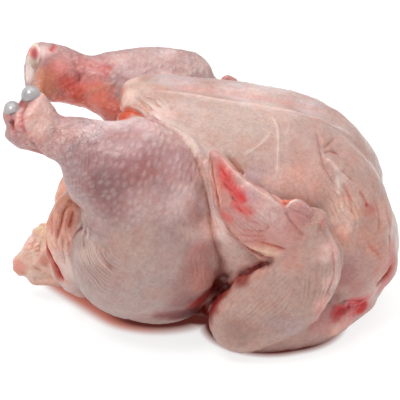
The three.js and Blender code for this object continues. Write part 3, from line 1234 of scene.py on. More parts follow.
        1.8, 2.2, (190, 130, 118), 0.5, 1.3, 0.45, taper=0.12, both_sides=False,
    ),
    "leg_and_flank": crease(
        "202,180 205,193 207,205 210,225 215,243 221,260 227,275",
        1.8, 2.2, (176, 110, 100), 0.5, 1.3, 0.45, taper=0.12,
    ),
    "band_pale_top": crease(
        "150,112 168,122 184,133 196,147 203,163",
        tone=(236, 216, 204), strength=0.75, spread=2.8, taper=0.15, both_sides=False,
    ),
    "band_pale": crease(
        "203,163 207,182 211,202 216,222 224,240", tone=(240, 222, 212), strength=0.8, spread=2.8, taper=0.15
    ),
    "hand_stroke_1": crease(
        "217,156 221,167 226,178 232,188 239,197 246,204", 0.9, 0, (214, 76, 74), 0.8, 3, 0
    ),
    "hand_stroke_2": crease("229,200 237,206 246,211 256,215", 0.9, 0, (216, 84, 82), 0.75, 2.6, 0),
    "hand_stroke_3": crease("221,211 227,217 235,222", 0.9, 0, (218, 96, 92), 0.75, 2.4, 0),
    "hand_stroke_4": crease("239,193 243,199 247,203", 0.9, 0, (216, 36, 40), 0.85, 1.8, 0),
    "torn_gap_2": crease("345,304 356,302 366,298", 1.4, 1, (206, 40, 46), 0.9, 2, 0.2),
    "torn_gap_3": crease("347,313 357,312 366,306", 1.4, 0.8, (214, 60, 60), 0.85, 1.8, 0.2),
    "ankle_petal": crease(
        "29,103 25,108 22,115 22,122 24,129 28,136",
        1.1, 1.2, (204, 104, 92), 0.7, 0.9, 0.4, taper=0.15, both_sides=False,
    ),
    "ankle_fold_1": crease(
        "28,138 33,143 38,148 42,154 48,160", 1, 1, (160, 92, 84), 0.6, 0.8, 0.5, both_sides=False
    ),
    "ankle_fold_2": crease(
        "34,146 38,152 -76,-58,110 50,163", 1, 0.7, (196, 116, 112), 0.5, 0.8, 0.4, both_sides=False
    ),
    # painted glints: pale streaks on the wet bumps beside the vent
    "vent_wet_1": cord("84,224 83,231 82,238", 1.2, 0.9, (226, 206, 200), 0.5, 0.7, 0.4),
    "vent_wet_2": cord("88,226 88,234 87,241", 1.2, 0.9, (226, 206, 200), 0.5, 0.7, 0.4),
    "tail_ridge_1": cord(
        "44,229 41,236 38,243 33,250 27,256", 1.5, 1, (232, 208, 188), 0.6, 1.2, 0.2, both_sides=False
    ),
    "tail_ridge_2": cord(
        "36,230 31,238 26,247 20,255", 1.5, 1, (232, 208, 196), 0.6, 1.2, 0.2, both_sides=False
    ),
    "tail_ridge_3": cord(
        "45,243 42,252 36,262 27,268", 1.5, 0.9, (230, 190, 176), 0.6, 1.2, 0.2, both_sides=False
    ),
}

BULGES: dict[str, Bulge] = {
    "wrist_dent_1": Bulge((328, 216), 6, -1.5),
    "wrist_dent_2": Bulge((336, 232), 6, -1.5),
    "ankle_flat": Bulge((38, 121), 7, -1, both_sides=False),
    "tail_lump_6": Bulge((47, 224), 2.6, 1, both_sides=False),
    "tail_lump_7": Bulge((33, 243), 2.4, 0.8, both_sides=False),
    "tail_dent_2": Bulge((37, 235), 2.2, -0.7, both_sides=False),
    "tail_dent_3": Bulge((30, 254), 2.2, -0.7, both_sides=False),
    "ankle_side": Bulge((14, 124), 5, 0.7, both_sides=False),
    "thumb_knuckle": Bulge((294, 207), 4.5, 0.7),
    "tail_lump_1": Bulge((42, 226), 4.5, 2.4, both_sides=False),
    "tail_lump_2": Bulge((35, 230), 4, 2.2, both_sides=False),
    "tail_lump_3": Bulge((38, 240), 3, 0.8, both_sides=False),
    "tail_lump_4": Bulge((28, 248), 3.2, 0.8, both_sides=False),
    "tail_lump_5": Bulge((22, 258), 3, 0.7, both_sides=False),
    "tail_dent": Bulge((25, 273), 2.6, -1.2, both_sides=False),
    "hand_bulge_1": Bulge((246, 192), 6, 0.9),
    "hand_bulge_2": Bulge((229, 205), 5, 0.7),
    "hand_bulge_3": Bulge((262, 222), 7, 0.7),
    "shoulder_bulge": Bulge((330, 175), 6, 0.6),
    "far_lump_1": Bulge((62, 70), 7, 1, both_sides=False),
    "far_lump_2": Bulge((72, 97), 5, 1, both_sides=False),
    "far_lump_3": Bulge((98, 104), 6, 0.8, both_sides=False),
    "far_dent": Bulge((80, 82), 4.5, -1, both_sides=False),
    "lip_bulge_1": Bulge((55, 215), 5, 0.8),
    "lip_bulge_2": Bulge((66, 225), 4, 0.8),
}

RIPPLES: dict[str, Ripple] = {
    "lip_folds": Ripple((66, 232), 16, (-20, -36, 58), 2.6, 0.5),
    "hand_low": Ripple((250, 226), 14, (247, -70, 350), 2, 0.45),
    "hand_side": Ripple((230, 190), 10, (300, -70, 10), 2.1, 0.3),
    "thumb": Ripple((306, 216), 10, (-75, -70, -75), 1.7, 0.3),
    "thigh_fan": Ripple((92, 266), 21, (124, 243), 2.1, 0.75),
    "forearm": Ripple((262, 300), 26, (-150, -70, 200), 2.1, 0.3),
    "elbow_right": Ripple((318, 285), 15, (-60, -70, 60), 2.4, 0.5),
    "neck_low": Ripple((372, 250), 16, (80, -36, 300), 2.7, 0.35),
    "breast_folds": Ripple((345, 205), 14, (250, -40, 180), 2.9, 0.6),
    "breast_tip": Ripple((150, 107), 13, (-60, -30, 60), 2.4, 0.6, both_sides=False),
    "ankle": Ripple((35, 142), 11, (-130, -60, 160), 2, 0.4, both_sides=False),
    "band": Ripple((200, 175), 13, (300, -60, 100), 2.6, 0.4, both_sides=False),
    "thigh_right": Ripple((205, 265), 14, (200, -60, 60), 2.4, 0.3),
    "drumstick_left": Ripple((78, 170), 20, (-300, -60, 100), 1.9, 0.5, both_sides=False),
    "far_flesh": Ripple((62, 80), 14, (-40, 60, 30), 3, 0.2, both_sides=False),
    "tail": Ripple((32, 248), 9, (-120, 0, 90), 2.4, 0.7, both_sides=False),
}

LEATHERY: tuple[Leather, ...] = (
    Leather((84, 128), 17, 0.7),
    Leather((60, 140), 12, 0.6),
    Leather((60, 72), 16, -0.85),
    Leather((95, 92), 16, -0.7),
    Leather((38, 55), 10, -0.9),
    Leather((14, 126), 8, 0.7),
    Leather((66, 160), 13, 0.6),
    Leather((88, 228), 7, 1),
    Leather((84, 240), 7, 0.7),
    Leather((120, 130), 12, 0.4),
    Leather((310, 212), 9, 0.6),
    Leather((322, 228), 8, 0.6),
    Leather((42, 232), 8, 0.8),
)

PATCHES: dict[str, Blotch] = blotches(
    drumstick_lavender=((76, 165), 13, (170, 150, 154), 0.6, 0.2, False),
    drumstick_lavender_low=((78, 195), 9, (172, 156, 158), 0.5, 0.2, False),
    drumstick_red=((135, 166), 14, (150, 84, 82), 0.65, 0.15, False),
    drumstick_mauve=((104, 188), 13, (122, 78, 80), 0.7, 0.2, False),
    drumstick_mauve_low=((112, 214), 8, (146, 104, 102), 0.5, 0.2, False),
    drumstick_right=((180, 170), 11, (190, 150, 150), 0.45, 0.2, False),
    # pale lavender-white on the drumstick's top: partly the skin's own tone, partly painted sheen
    drumstick_top=((118, 121), 12, (224, 204, 204), 0.75, 0.3, False),
    drumstick_top_left=((92, 128), 8, (226, 208, 210), 0.7, 0.2, False),
    drumstick_top_right=((152, 126), 10, (216, 196, 196), 0.55, 0.2, False),
    knee_pink=((196, 205), 12, (206, 178, 178), 0.55, 0.2),
    thigh_grey=((180, 244), 11, (170, 154, 152), 0.5, 0.2),
    thigh_warm=((130, 240), 12, (184, 158, 142), 0.5, 0.2),
    thigh_shade_deep=((216, 279), 8, (120, 20, 14), 0.6, 0.2),
    thigh_edge_pink=((206, 240), 8, (214, 176, 168), 0.5, 0.2),
    ankle_pale=((36, 120), 9, (236, 206, 196), 0.6, 0.4, False),
    ankle_orange=((40, 138), 5, (220, 150, 128), 0.8, 0.2, False),
    ankle_pink=((14, 126), 6, (202, 134, 130), 0.7, 0.2, False),
    ankle_blood_1=((29, 99), 3.2, (96, 22, 22), 0.95, 0.3, False),
    ankle_blood_2=((22, 103), 2.8, (150, 50, 44), 0.9, 0.2, False),
    breast_cream=((235, 128), 24, (192, 170, 158), 0.6, 0.3),
    breast_lavender=((262, 172), 11, (200, 170, 168), 0.45, 0.2),
    breast_peach=((312, 184), 15, (222, 170, 154), 0.45, 0.2),
    breast_pale_spot=((342, 178), 5, (222, 198, 190), 0.5, 0.2),
    neck_orange=((376, 238), 15, (208, 150, 130), 0.6, 0.2),
    neck_orange_low=((384, 265), 9, (206, 130, 108), 0.6, 0.2),
    neck_mauve=((354, 268), 13, (184, 140, 136), 0.6, 0.2),
    neck_rose=((352, 150), 14, (208, 170, 160), 0.4, 0.2),
    hand_red_1=((224, 180), 4.5, (222, 106, 96), 0.7, 0.2),
    hand_red_2=((241, 195), 5, (214, 64, 66), 0.7, 0.3),
    hand_pink=((216, 192), 5, (214, 128, 112), 0.6, 0.2),
    hand_grey=((246, 184), 5, (198, 166, 166), 0.55, 0.2),
    hand_low_peach=((268, 252), 5.5, (214, 168, 142), 0.6, 0.2),
    wing_notch_red=((285, 200), 3, (214, 130, 104), 0.8, 0.2),
    forearm_warm=((292, 262), 8, (200, 152, 140), 0.5, 0.2),
    forearm_foot=((238, 332), 11, (150, 112, 100), 0.6, 0.2),
    forearm_mauve=((278, 325), 9, (170, 140, 138), 0.5, 0.2),
    forearm_pink=((325, 322), 8.5, (198, 138, 134), 0.7, 0.3),
    shoulder_marks=((324, 223), 3, (196, 100, 98), 0.6, 0.2),
    torn_lobe=((352, 325), 5, (236, 176, 168), 0.8, 0.3),
    tail_fat=((42, 229), 5.5, (230, 212, 178), 0.85, 0.3, False),
    tail_tip=((19, 267), 5.5, (214, 128, 112), 0.5, 0.3, False),
    lip_rust=((64, 222), 9, (226, 156, 130), 0.7, 0.2),
    far_red_1=((60, 74), 9, (222, 132, 126), 0.85, 0.3, False),
    far_red_2=((76, 87), 8, (226, 110, 102), 0.9, 0.2, False),
    far_flush=((88, 70), 10, (206, 134, 128), 0.7, 0.2, False),
    far_flush_2=((106, 70), 5, (200, 94, 90), 0.6, 0.2, False),
    far_under=((100, 101), 10, (232, 124, 100), 0.9, 0.3, False),
    far_under_2=((112, 108), 6, (222, 98, 78), 0.9, 0.3, False),
    far_top=((145, 56), 16, (196, 166, 160), 0.6, 0.2, False),
    far_top_right=((192, 66), 13, (184, 158, 152), 0.6, 0.2, False),
    far_rim=((29, 76), 4, (228, 200, 184), 0.8, 0.2, False),
    far_wing_tip=((226, 80), 5, (208, 116, 104), 0.7, 0.2, False),
    flank_shade=((238, 266), 9, (204, 164, 152), 0.5, 0.2),
    # painted shade: dark red in the deep gap between the thigh and the wing
    flank_gap=((218, 296), 6, (130, 12, 8), 0.98, 0.4),
    breast_tip_pale=((126, 97), 6.5, (232, 200, 186), 0.7, 0.3),
    # painted shadow: orange under the curled edge of the breast tip
    breast_tip_red=((121, 109), 3.2, (216, 104, 68), 0.9, 0.3),
    # painted light: near-white on the low flank, lifting the shade under the wing and thigh
    band_low_pale=((214, 226), 8, (248, 226, 220), 0.75, 0.3),
    far_lobe_lavender=((180, 78), 13, (206, 194, 198), 0.6, 0.3, False),
    far_lobe_lavender_2=((235, 88), 14, (204, 188, 190), 0.5, 0.3, False),
    far_lobe_rose=((300, 98), 12, (200, 168, 164), 0.4, 0.3, False),
    neck_rim=((393, 252), 7, (204, 124, 110), 0.8, 0.3),
    neck_rose_low=((385, 285), 7, (190, 84, 76), 0.85, 0.3),
    neck_peach=((345, 240), 9, (206, 164, 146), 0.5, 0.2),
    neck_cream=((352, 206), 7, (222, 186, 166), 0.5, 0.2),
    lip_hem=((72, 286), 9, (190, 164, 156), 0.95, 0.5),
    lip_hem_2=((60, 272), 6, (200, 170, 160), 0.7, 0.3),
    far_under_3=((78, 96), 6, (224, 112, 92), 0.8, 0.3, False),
    far_peach=((48, 92), 6, (216, 140, 110), 0.8, 0.3, False),
    far_shank_red=((64, 84), 6, (220, 96, 84), 0.8, 0.2, False),
    forearm_blush=((262, 270), 7, (196, 148, 136), 0.5, 0.2),
    forearm_lilac=((296, 330), 8, (176, 150, 152), 0.6, 0.2),
    elbow_rose=((324, 300), 6, (204, 150, 144), 0.5, 0.2),
    thigh_bottom_rose=((150, 318), 8, (170, 134, 128), 0.6, 0.2),
    tail_cream=((52, 240), 5, (236, 206, 186), 0.7, 0.3, False),
    hand_edge_red=((213, 178), 4, (206, 104, 92), 0.7, 0.2),
    hand_lilac=((252, 178), 5, (204, 180, 184), 0.6, 0.3),
    hand_cream_low=((238, 238), 4, (216, 170, 146), 0.6, 0.2),
    ankle_cream=((40, 126), 5, (236, 214, 204), 0.5, 0.3, False),
    ankle_salmon=((38, 116), 6, (214, 164, 152), 0.5, 0.3, False),
    ankle_rose_left=((17, 124), 4.5, (206, 140, 136), 0.7, 0.3, False),
    ankle_blood_5=((12, 113), 1.8, (70, 0, 0), 0.95, 0.4, False),
    ankle_blood_6=((12, 122), 1.8, (90, 10, 6), 0.95, 0.3, False),
    torn_deep=((361, 307), 4.5, (206, 16, 22), 0.95, 0.4),
    torn_deep_2=((340, 312), 3.5, (160, 20, 30), 0.9, 0.3),
    lobe_pale=((338, 330), 6, (232, 186, 172), 0.8, 0.3),
    neck_mauve_2=((345, 275), 7, (170, 112, 114), 0.6, 0.3),
    neck_mauve_3=((358, 288), 6, (178, 118, 116), 0.5, 0.3),
    neck_orange_2=((345, 234), 5, (206, 126, 106), 0.6, 0.2),
    neck_orange_3=((356, 214), 5, (212, 150, 120), 0.7, 0.2),
    neck_orange_4=((349, 199), 2.6, (208, 110, 76), 0.8, 0.2),
    neck_red_dot=((366.5, 205), 1.5, (150, 10, 10), 0.95, 0.4),
    neck_red_glow=((370, 210), 4.5, (206, 104, 96), 0.6, 0.2),
    neck_grey=((342, 252), 3.5, (170, 150, 146), 0.6, 0.2),
    hand_lavender=((262, 203), 8, (208, 178, 174), 0.75, 0.35),
    hand_lavender_2=((276, 222), 6, (206, 166, 160), 0.6, 0.3),
    thumb_lilac=((302, 214), 6, (206, 160, 160), 0.6, 0.3),
    notch_orange=((286, 203), 2.6, (206, 110, 80), 0.85, 0.3),
    tail_white=((32, 238), 5, (222, 198, 196), 0.7, 0.3, False),
    tail_yellow=((42, 238), 3.5, (212, 184, 146), 0.6, 0.3, False),
    tail_salmon=((17, 268), 5, (222, 130, 114), 0.5, 0.3, False),
    tail_orange=((48, 250), 2.6, (200, 44, 8), 0.95, 0.4, False),
    tail_pink=((54, 264), 6, (190, 96, 84), 0.9, 0.3, False),
    tail_red_low=((61, 276), 3, (190, 50, 50), 0.9, 0.3, False),
    vent_salmon=((53, 225), 5, (220, 150, 134), 0.6, 0.3),
    thigh_edge_light=((186, 203), 12, (242, 216, 214), 0.5, 0.2),
    thigh_edge_light_2=((192, 226), 9, (240, 210, 206), 0.5, 0.2),
    # painted light: paler breast beside the thumb, lifting the shade that the hand casts there
    breast_by_thumb_3=((272, 184), 7, (240, 204, 194), 0.6, 0.2),
    wrist_light=((329, 250), 7, (244, 204, 196), 0.6, 0.2),
    wrist_light_2=((331, 282), 7, (244, 200, 190), 0.6, 0.2),
    wrist_light_3=((322, 305), 6, (238, 192, 182), 0.6, 0.2),
    torn_wide_2=((363, 300), 6, (206, 44, 48), 0.85, 0.3),
    far_cut_face=((44, 50), 5, (230, 200, 194), 0.7, 0.3, False),
    far_cut_rim=((31, 70), 5, (234, 216, 210), 0.8, 0.3, False),
    shank_light=((52, 146), 8, (216, 176, 172), 0.6, 0.2, False),
    shank_light_2=((30, 142), 6, (214, 172, 168), 0.6, 0.2, False),
    drum_mauve=((108, 152), 8, (156, 116, 118), 0.4, 0.2),
    tail_light=((28, 246), 6, (236, 208, 198), 0.7, 0.3, False),
    neck_low_red=((388, 282), 7, (190, 84, 76), 0.8, 0.3),
    hand_lilac_2=((254, 196), 5, (196, 164, 168), 0.7, 0.3),
    # painted light: paler breast beside the thumb, lifting the shade that the hand casts there
    breast_by_thumb=((292, 186), 13, (238, 200, 188), 0.4, 0.1),
    thigh_spot_light=((198, 208), 6, (236, 206, 206), 0.6, 0.3),
    # painted shade: dark red along the gap between the thigh's lower edge and the forearm
    gap_deep_1=((206, 313), 8, (130, 12, 8), 0.97, 0.4),
    gap_deep_2=((211, 304), 8, (130, 12, 8), 0.97, 0.4),
    gap_deep_3=((217, 297), 7, (130, 14, 10), 0.97, 0.4),
    gap_deep_4=((226, 289), 6, (120, 20, 14), 0.9, 0.3),
    gap_deep_5=((242, 278), 5, (130, 30, 22), 0.85, 0.3),
    far_orange=((42, 80), 8, (208, 142, 104), 0.8, 0.2, False),
    far_low_1=((60, 100), 7, (226, 124, 108), 0.85, 0.3, False),
    far_low_2=((80, 103), 7, (224, 112, 98), 0.85, 0.3, False),
    far_low_3=((96, 110), 7, (226, 104, 82), 0.85, 0.3, False),
    far_low_4=((108, 117), 6, (214, 84, 66), 0.85, 0.3, False),
    far_haze=((66, 64), 8, (222, 160, 152), 0.5, 0.2, False),
    lip_light_1=((60, 214), 6, (232, 176, 158), 0.6, 0.2),
    lip_light_2=((64, 236), 7, (226, 176, 160), 0.5, 0.2),
    lip_light_3=((74, 204), 5, (222, 160, 138), 0.5, 0.2),
    # painted shade: mauve-red where the thigh turns away from the light towards the wing
    thigh_side_rose=((202, 262), 12, (170, 104, 98), 0.6, 0.2),
    thigh_mid_rose=((182, 284), 9, (160, 106, 102), 0.5, 0.2),
    torn_wide=((352, 306), 6.5, (196, 26, 32), 0.95, 0.4),
    band_cream=((160, 111), 8, (238, 218, 210), 0.6, 0.2, False),
    far_lobe_grey=((270, 88), 12, (214, 202, 204), 0.6, 0.2, False),
    far_lobe_grey_2=((310, 108), 12, (212, 198, 198), 0.6, 0.2, False),
    far_lobe_grey_3=((345, 125), 11, (208, 184, 178), 0.5, 0.2, False),
    shoulder_edge_pale=((366, 142), 8, (208, 184, 178), 0.5, 0.2, False),
    breast_by_wrist=((335, 204), 9, (220, 182, 170), 0.5, 0.2),
    breast_by_wrist_2=((346, 212), 9, (238, 206, 192), 0.6, 0.2),
    neck_edge_peach=((386, 215), 8, (228, 180, 164), 0.5, 0.2),
    flank_light=((214, 260), 7, (240, 210, 200), 0.2, 0.2),
    neck_low_red_2=((393, 262), 7, (196, 96, 84), 0.8, 0.3),
    far_top_rim=((170, 52), 7, (216, 196, 192), 0.6, 0.2, False),
    far_top_rim_2=((205, 68), 7, (216, 196, 190), 0.6, 0.2, False),
    far_top_rim_3=((120, 60), 7, (216, 190, 186), 0.5, 0.2, False),
    hem_pale_1=((74, 291), 8, (206, 182, 176), 0.9, 0.4),
    hem_pale_2=((62, 281), 6, (212, 178, 168), 0.8, 0.3),
    hem_pale_3=((60, 256), 8, (226, 200, 190), 0.8, 0.3),
    hem_pale_4=((67, 269), 8, (220, 196, 188), 0.8, 0.3),
    hem_pale_5=((55, 244), 5, (228, 186, 170), 0.6, 0.3),
    tail_cream_2=((36, 250), 7, (232, 208, 194), 0.6, 0.3, False),
    drum_mauve_2=((108, 150), 14, (162, 124, 126), 0.45, 0.2),
    drum_mauve_3=((132, 150), 12, (172, 132, 132), 0.4, 0.2),
    breast_ridge_pale=((190, 108), 14, (224, 208, 200), 0.2, 0.2, False),
    hand_right_pale=((266, 210), 7, (214, 186, 180), 0.6, 0.3),
    # painted shade: dark red on the thigh's underside, turned away from the light and under the wing
    thigh_low_rose=((182, 303), 10, (128, 66, 62), 0.75, 0.2),
    thigh_low_deep=((198, 303), 9, (160, 40, 34), 0.9, 0.25),
    thigh_low_edge=((164, 315), 8, (128, 44, 38), 0.9, 0.2),
    thigh_low_edge_2=((178, 315), 8, (108, 10, 8), 0.95, 0.3),
    thigh_low_edge_3=((194, 313), 8, (84, 6, 4), 0.95, 0.3),
    thigh_corner=((204, 280), 9, (196, 138, 126), 0.8, 0.2),
    # painted shade: mauve where the thigh turns away from the light towards the wing
    thigh_right_rose=((196, 258), 8, (184, 128, 122), 0.5, 0.2),
    tail_side_1=((45, 251), 5, (174, 60, 32), 0.95, 0.3, False),
    tail_side_2=((44, 262), 5, (178, 98, 80), 0.85, 0.2, False),
    tail_side_3=((54, 272), 6, (172, 78, 64), 0.9, 0.3, False),
    tail_all=((32, 252), 12, (206, 158, 138), 0.4, 0.2, False),
    # painted shadow: dark orange under the curled breast tip
    tip_under=((124, 114), 5, (200, 84, 50), 0.95, 0.4, False),
    tip_under_2=((129, 116), 4, (206, 100, 66), 0.9, 0.4, False),
    neck_right=((386, 264), 9, (196, 130, 114), 0.6, 0.2),
    torn_right=((354, 308), 5, (196, 84, 80), 0.8, 0.3),
    # painted shadow: orange at the lip of the hollow under the breast tip
    cavity_rim=((106, 118), 6, (196, 90, 66), 0.8, 0.3, False),
    band_light=((206, 172), 8, (228, 204, 196), 0.5, 0.2),
    far_low_light=((96, 107), 8, (222, 132, 114), 0.5, 0.2, False),
    far_heel_light=((52, 88), 8, (226, 156, 134), 0.4, 0.2, False),
    breast_tip_rose=((168, 104), 9, (204, 172, 160), 0.45, 0.2, False),
    hand_rose=((250, 208), 6, (206, 136, 130), 0.5, 0.2),
    # painted light: paler breast beside the wrist, lifting the crevice shade there
    wrist_side_1=((339, 212), 7, (240, 200, 182), 0.8, 0.3),
    wrist_side_2=((345, 228), 6, (236, 196, 180), 0.7, 0.3),
    breast_far_light=((354, 196), 10, (220, 180, 166), 0.45, 0.2),
    knee_light_1=((150, 208), 12, (216, 184, 176), 0.4, 0.2),
    knee_light_2=((184, 206), 10, (216, 188, 182), 0.4, 0.2),
    thigh_left_light=((88, 250), 9, (214, 190, 180), 0.5, 0.2),
    drum_right_light=((170, 132), 10, (216, 188, 184), 0.4, 0.2, False),
    drum_neck_light=((70, 130), 8, (218, 186, 180), 0.5, 0.2, False),
    far_low_light_2=((110, 108), 8, (228, 148, 130), 0.6, 0.2, False),
    far_low_light_3=((94, 108), 8, (224, 142, 124), 0.4, 0.2, False),
    breast_upper_light=((275, 108), 13, (222, 204, 196), 0.45, 0.2),
    ridge_light=((250, 90), 13, (224, 206, 200), 0.4, 0.2),
    breast_left_light=((196, 140), 12, (222, 200, 192), 0.4, 0.2, False),
    torn_left=((338, 314), 5, (184, 40, 46), 0.85, 0.3),
    torn_under=((346, 322), 6, (214, 150, 142), 0.7, 0.3),
)


@dataclass(frozen=True)
class Look:
    """The colour of one limb's skin, how thickly feather pits cover it, and its lumps."""

    tone: Tone
    pits: float = 0.0
    grain: Grain = Grain(9, 0.35)


@dataclass(frozen=True)
class Paint:
    """The colours of the whole bird: a ground for each limb, then patches, among them painted shade and
    painted light.
    """

    grounds: dict[str, Look]
    blotches: tuple[Blotch, ...]

    def colour(self, flesh: Flesh, masses: dict[str, Limb], sight: Sight) -> None:
        """Paints the grounds and the patches."""
        flesh.tint[:] = 0
        for look, share in self.shares(flesh, masses):
            flesh.tint += share[:, None] * srgb(*look.tone)
            flesh.pits += share * look.pits
        noise = lattice_noise(flesh.points, 7, 5) + 0.6 * lattice_noise(flesh.points, 3, 6)
        for blotch in self.blotches:
            blotch.on(sight).colour(flesh, noise)

    def shares(self, flesh: Flesh, masses: dict[str, Limb]) -> list[tuple[Look, np.ndarray]]:
        """Each limb's look and its share of each point, with wandering borders."""
        wander = np.stack([lattice_noise(flesh.points, 9, seed) for seed in (11, 12, 13)], axis=1) * 2.5 * MM
        found = []
        for name, limb in masses.items():
            look = self.grounds[name.removeprefix("left_").removeprefix("right_")]
            found.append((look, np.exp(-9 * limb.closeness(flesh.points + wander))))
        total = sum(share for _, share in found)
        return [(look, share / total) for look, share in found]


SKIN_PAINT = Paint(
    grounds={
        "rib_cage": Look((196, 160, 150)),
        "breast_tip": Look((200, 170, 158)),
        "breast": Look((184, 154, 144)),
        "neck_skin": Look((194, 150, 138)),
        "thigh": Look((178, 153, 146), 0.15, Grain(6, 0.3)),
        "drumstick": Look((176, 138, 136), 1.0, Grain(3.4, 0.3)),
        "inner_knuckle": Look((218, 178, 168), 0, Grain(7, 0.4)),
        "outer_knuckle": Look((196, 134, 126), 0, Grain(3, 0.5)),
        "knee": Look((178, 146, 140), 0.5, Grain(5, 0.3)),
        "flank": Look((220, 194, 184)),
        "humerus": Look((188, 150, 142), 0.3, Grain(3, 0.3)),
        "forearm": Look((184, 152, 140), 0.3, Grain(2.6, 0.35)),
        "hand": Look((197, 146, 138), 0, Grain(4, 0.6)),
        "thumb": Look((200, 155, 148)),
        "parsons_nose": Look((222, 188, 170), 0.2, Grain(4, 0.8)),
        "tail_flap": Look((216, 172, 156), 0.3),
        "vent_lip": Look((220, 158, 134), 0, Grain(7, 0.7)),
    },
    blotches=tuple(PATCHES.values()),
)


@dataclass(frozen=True)
class Carcass:
    """The whole body as one skin: its masses joined, hollowed, flattened below, creased and painted, with
    painted shade in its crevices.
    """

    torso: Torso = Torso()
    legs: Legs = Legs()
    wings: Wings = Wings()
    vent: Vent = Vent()
    paint: Paint = SKIN_PAINT
    rough_voxel: float = 1.6
    fine_voxel: float = 1.05
    faces: int = 192_000
    # how far the painted shade of the crevices looks for other flesh, in millimetres
    crevice: float = 14.0
    grain_seed: int = 40
    pit_stretch: float = 0.7
    tries: int = 2
    soft_joins: tuple[tuple[float, float, float, float, int], ...] = (
        (-30, -64, 70, 30, 60),
        (-6, -62, 72, 18, 60),
        (-38, -3, 117, 17, 40),
        (10, 0, 117, 16, 10),
        (45, 0, 112, 16, 10),
        (75, 0, 100, 18, 20),
        (92, -26, 36, 22, 40),
        (82, -40, 26, 16, 30),
        (64, -52, 44, 16, 20),
        (-66, -42, 48, 15, 60),
        (-64, -40, 32, 17, 80),
        (-72, -32, 24, 14, 30),
        (8, -52, 104, 14, 20),
    )
    drags: tuple[tuple[Place, float, Place], ...] = (
        ((70, -69, 75), 13, (-5.5, 1, -1)),
        ((100, -24, 31), 16, (2.8, 0, -1)),
        ((92, -33, 14), 12, (1.5, -1, -1)),
        ((104, -10, 66), 22, (-2, 0, 0)),
        ((-72, -24, 82), 13, (6, 0, 0)),
        ((-68, -44, 77), 10, (2, 0, 0)),
        ((-79, 24, 66), 15, (5.5, -1, -1)),
        ((-83, -10, 14), 12, (0.5, 0, 2.6)),
        ((-90, 0, 44), 8, (-0.5, 0, 1.6)),
    )
    lines: tuple[SkinLine, ...] = tuple(SKIN_LINES.values())
    bulges: tuple[Bulge, ...] = tuple(BULGES.values())
    ripples: tuple[Ripple, ...] = tuple(RIPPLES.values())
    pitted: tuple[tuple[Place, Place], ...] = (
        ((-74, -53, 118), (0, -46, 80)),
        ((-74, 53, 118), (5, 56, 90)),
    )
    leathery: tuple[Leather, ...] = LEATHERY

    def masses(self) -> dict[str, Limb]:
        """All limbs by name."""
        return self.torso.masses() | self.legs.masses() | self.wings.masses() | self.vent.masses()

    def block_out(self) -> bpy.types.Object:
        """Joins the masses into one closed shell and hollows it from the vent."""
        made = [limb.build(name) for name, limb in self.masses().items()]
        bpy.ops.object.select_all(action="DESELECT")
        for part in made:
            part.select_set(True)
        body = made[0]
        bpy.context.view_layer.objects.active = body
        bpy.ops.object.join()
        body.name = "chicken_skin"
        apply_modifier(body, "REMESH", mode="VOXEL", voxel_size=self.rough_voxel * MM, use_smooth_shade=True)
        hollow = self.vent.body_cavity.build("body_cavity")
        apply_modifier(body, "BOOLEAN", operation="DIFFERENCE", object=hollow, solver="MANIFOLD")
        bpy.data.objects.remove(hollow)
        apply_modifier(body, "REMESH", mode="VOXEL", voxel_size=self.fine_voxel * MM, use_smooth_shade=True)
        return body

    def settle(self, flesh: Flesh) -> None:
        """Softens the joins and flattens what would lie under the table."""
        for x, y, z, radius, rounds in self.soft_joins:
            for side in (1, -1):
                flesh.relax(0.5 * flesh.near(x, side * y, z, radius, radius * 0.5), rounds)
        for (x, y, z), radius, (by_x, by_y, by_z) in self.drags:
            for side in (1, -1) if y < 0 else (1,):
                flesh.pull((x, side * y, z), radius, (by_x, side * by_y, by_z))
        flesh.relax(0.5, 3)
        below = flesh.points[:, 2] < 0
        flesh.points[below, 2] = 0
        flesh.refresh()

    def crease(self, flesh: Flesh) -> list[SkinLine]:
        """Presses the bulges and the lines, whose spots are found once more on the skin of the first try.

        Returns:
            The lines with their paths on the skin.
        """
        smooth = flesh.points.copy()
        for _ in range(self.tries):
            sight = Sight(flesh)
            flesh.points[:] = smooth
            flesh.refresh()
            lines = [line.on(sight) for line in self.lines]
            for feature in (*(bulge.on(sight) for bulge in self.bulges), *lines):
                feature.press(flesh)
            flesh.points[:, 2] = np.maximum(flesh.points[:, 2], 0)
            flesh.refresh()
        return lines

    def dress(self, flesh: Flesh, lines: list[SkinLine]) -> None:
        """Paints the skin, with painted shade in its crevices, and marks its pits, seams, wrinkles and
        leathery patches.
        """
        sight = Sight(flesh)
        self.paint.colour(flesh, self.masses(), sight)
        for start, end in self.pitted:
            flesh.wrap(start, end, self.pit_stretch)
        for line in lines:
            line.colour(flesh)
        # painted shade in the crevices
        flesh.deepen(self.crevice)
        for index, line in enumerate(lines):
            line.mark(flesh, index % SEAM_LAYERS)
        for patch in (*self.ripples, *self.leathery):
            patch.on(sight).mark(flesh)
        flesh.store()

    def build(self) -> bpy.types.Object:
        """The finished, painted skin."""
        body = self.block_out()
        flesh = Flesh(body)
        self.settle(flesh)
        for seed, (look, share) in enumerate(self.paint.shares(flesh, self.masses())):
            look.grain.press(flesh, share, self.grain_seed + seed)
        flesh.refresh()
        lines = self.crease(flesh)
        apply_modifier(body, "DECIMATE", ratio=self.faces / (2 * len(body.data.polygons)))
        body.data.shade_smooth()
        self.dress(Flesh(body), lines)
        body.data.materials.clear()
        body.data.materials.append(SkinFinish().build())
        return body


# ------------------------------------------------------------------------------ bone ends


@dataclass(frozen=True)
class Knob:
    """One rounded head of a bone, in millimetres."""

    place: Place
    radii: Place
    turn: Place = (0, 0, 0)


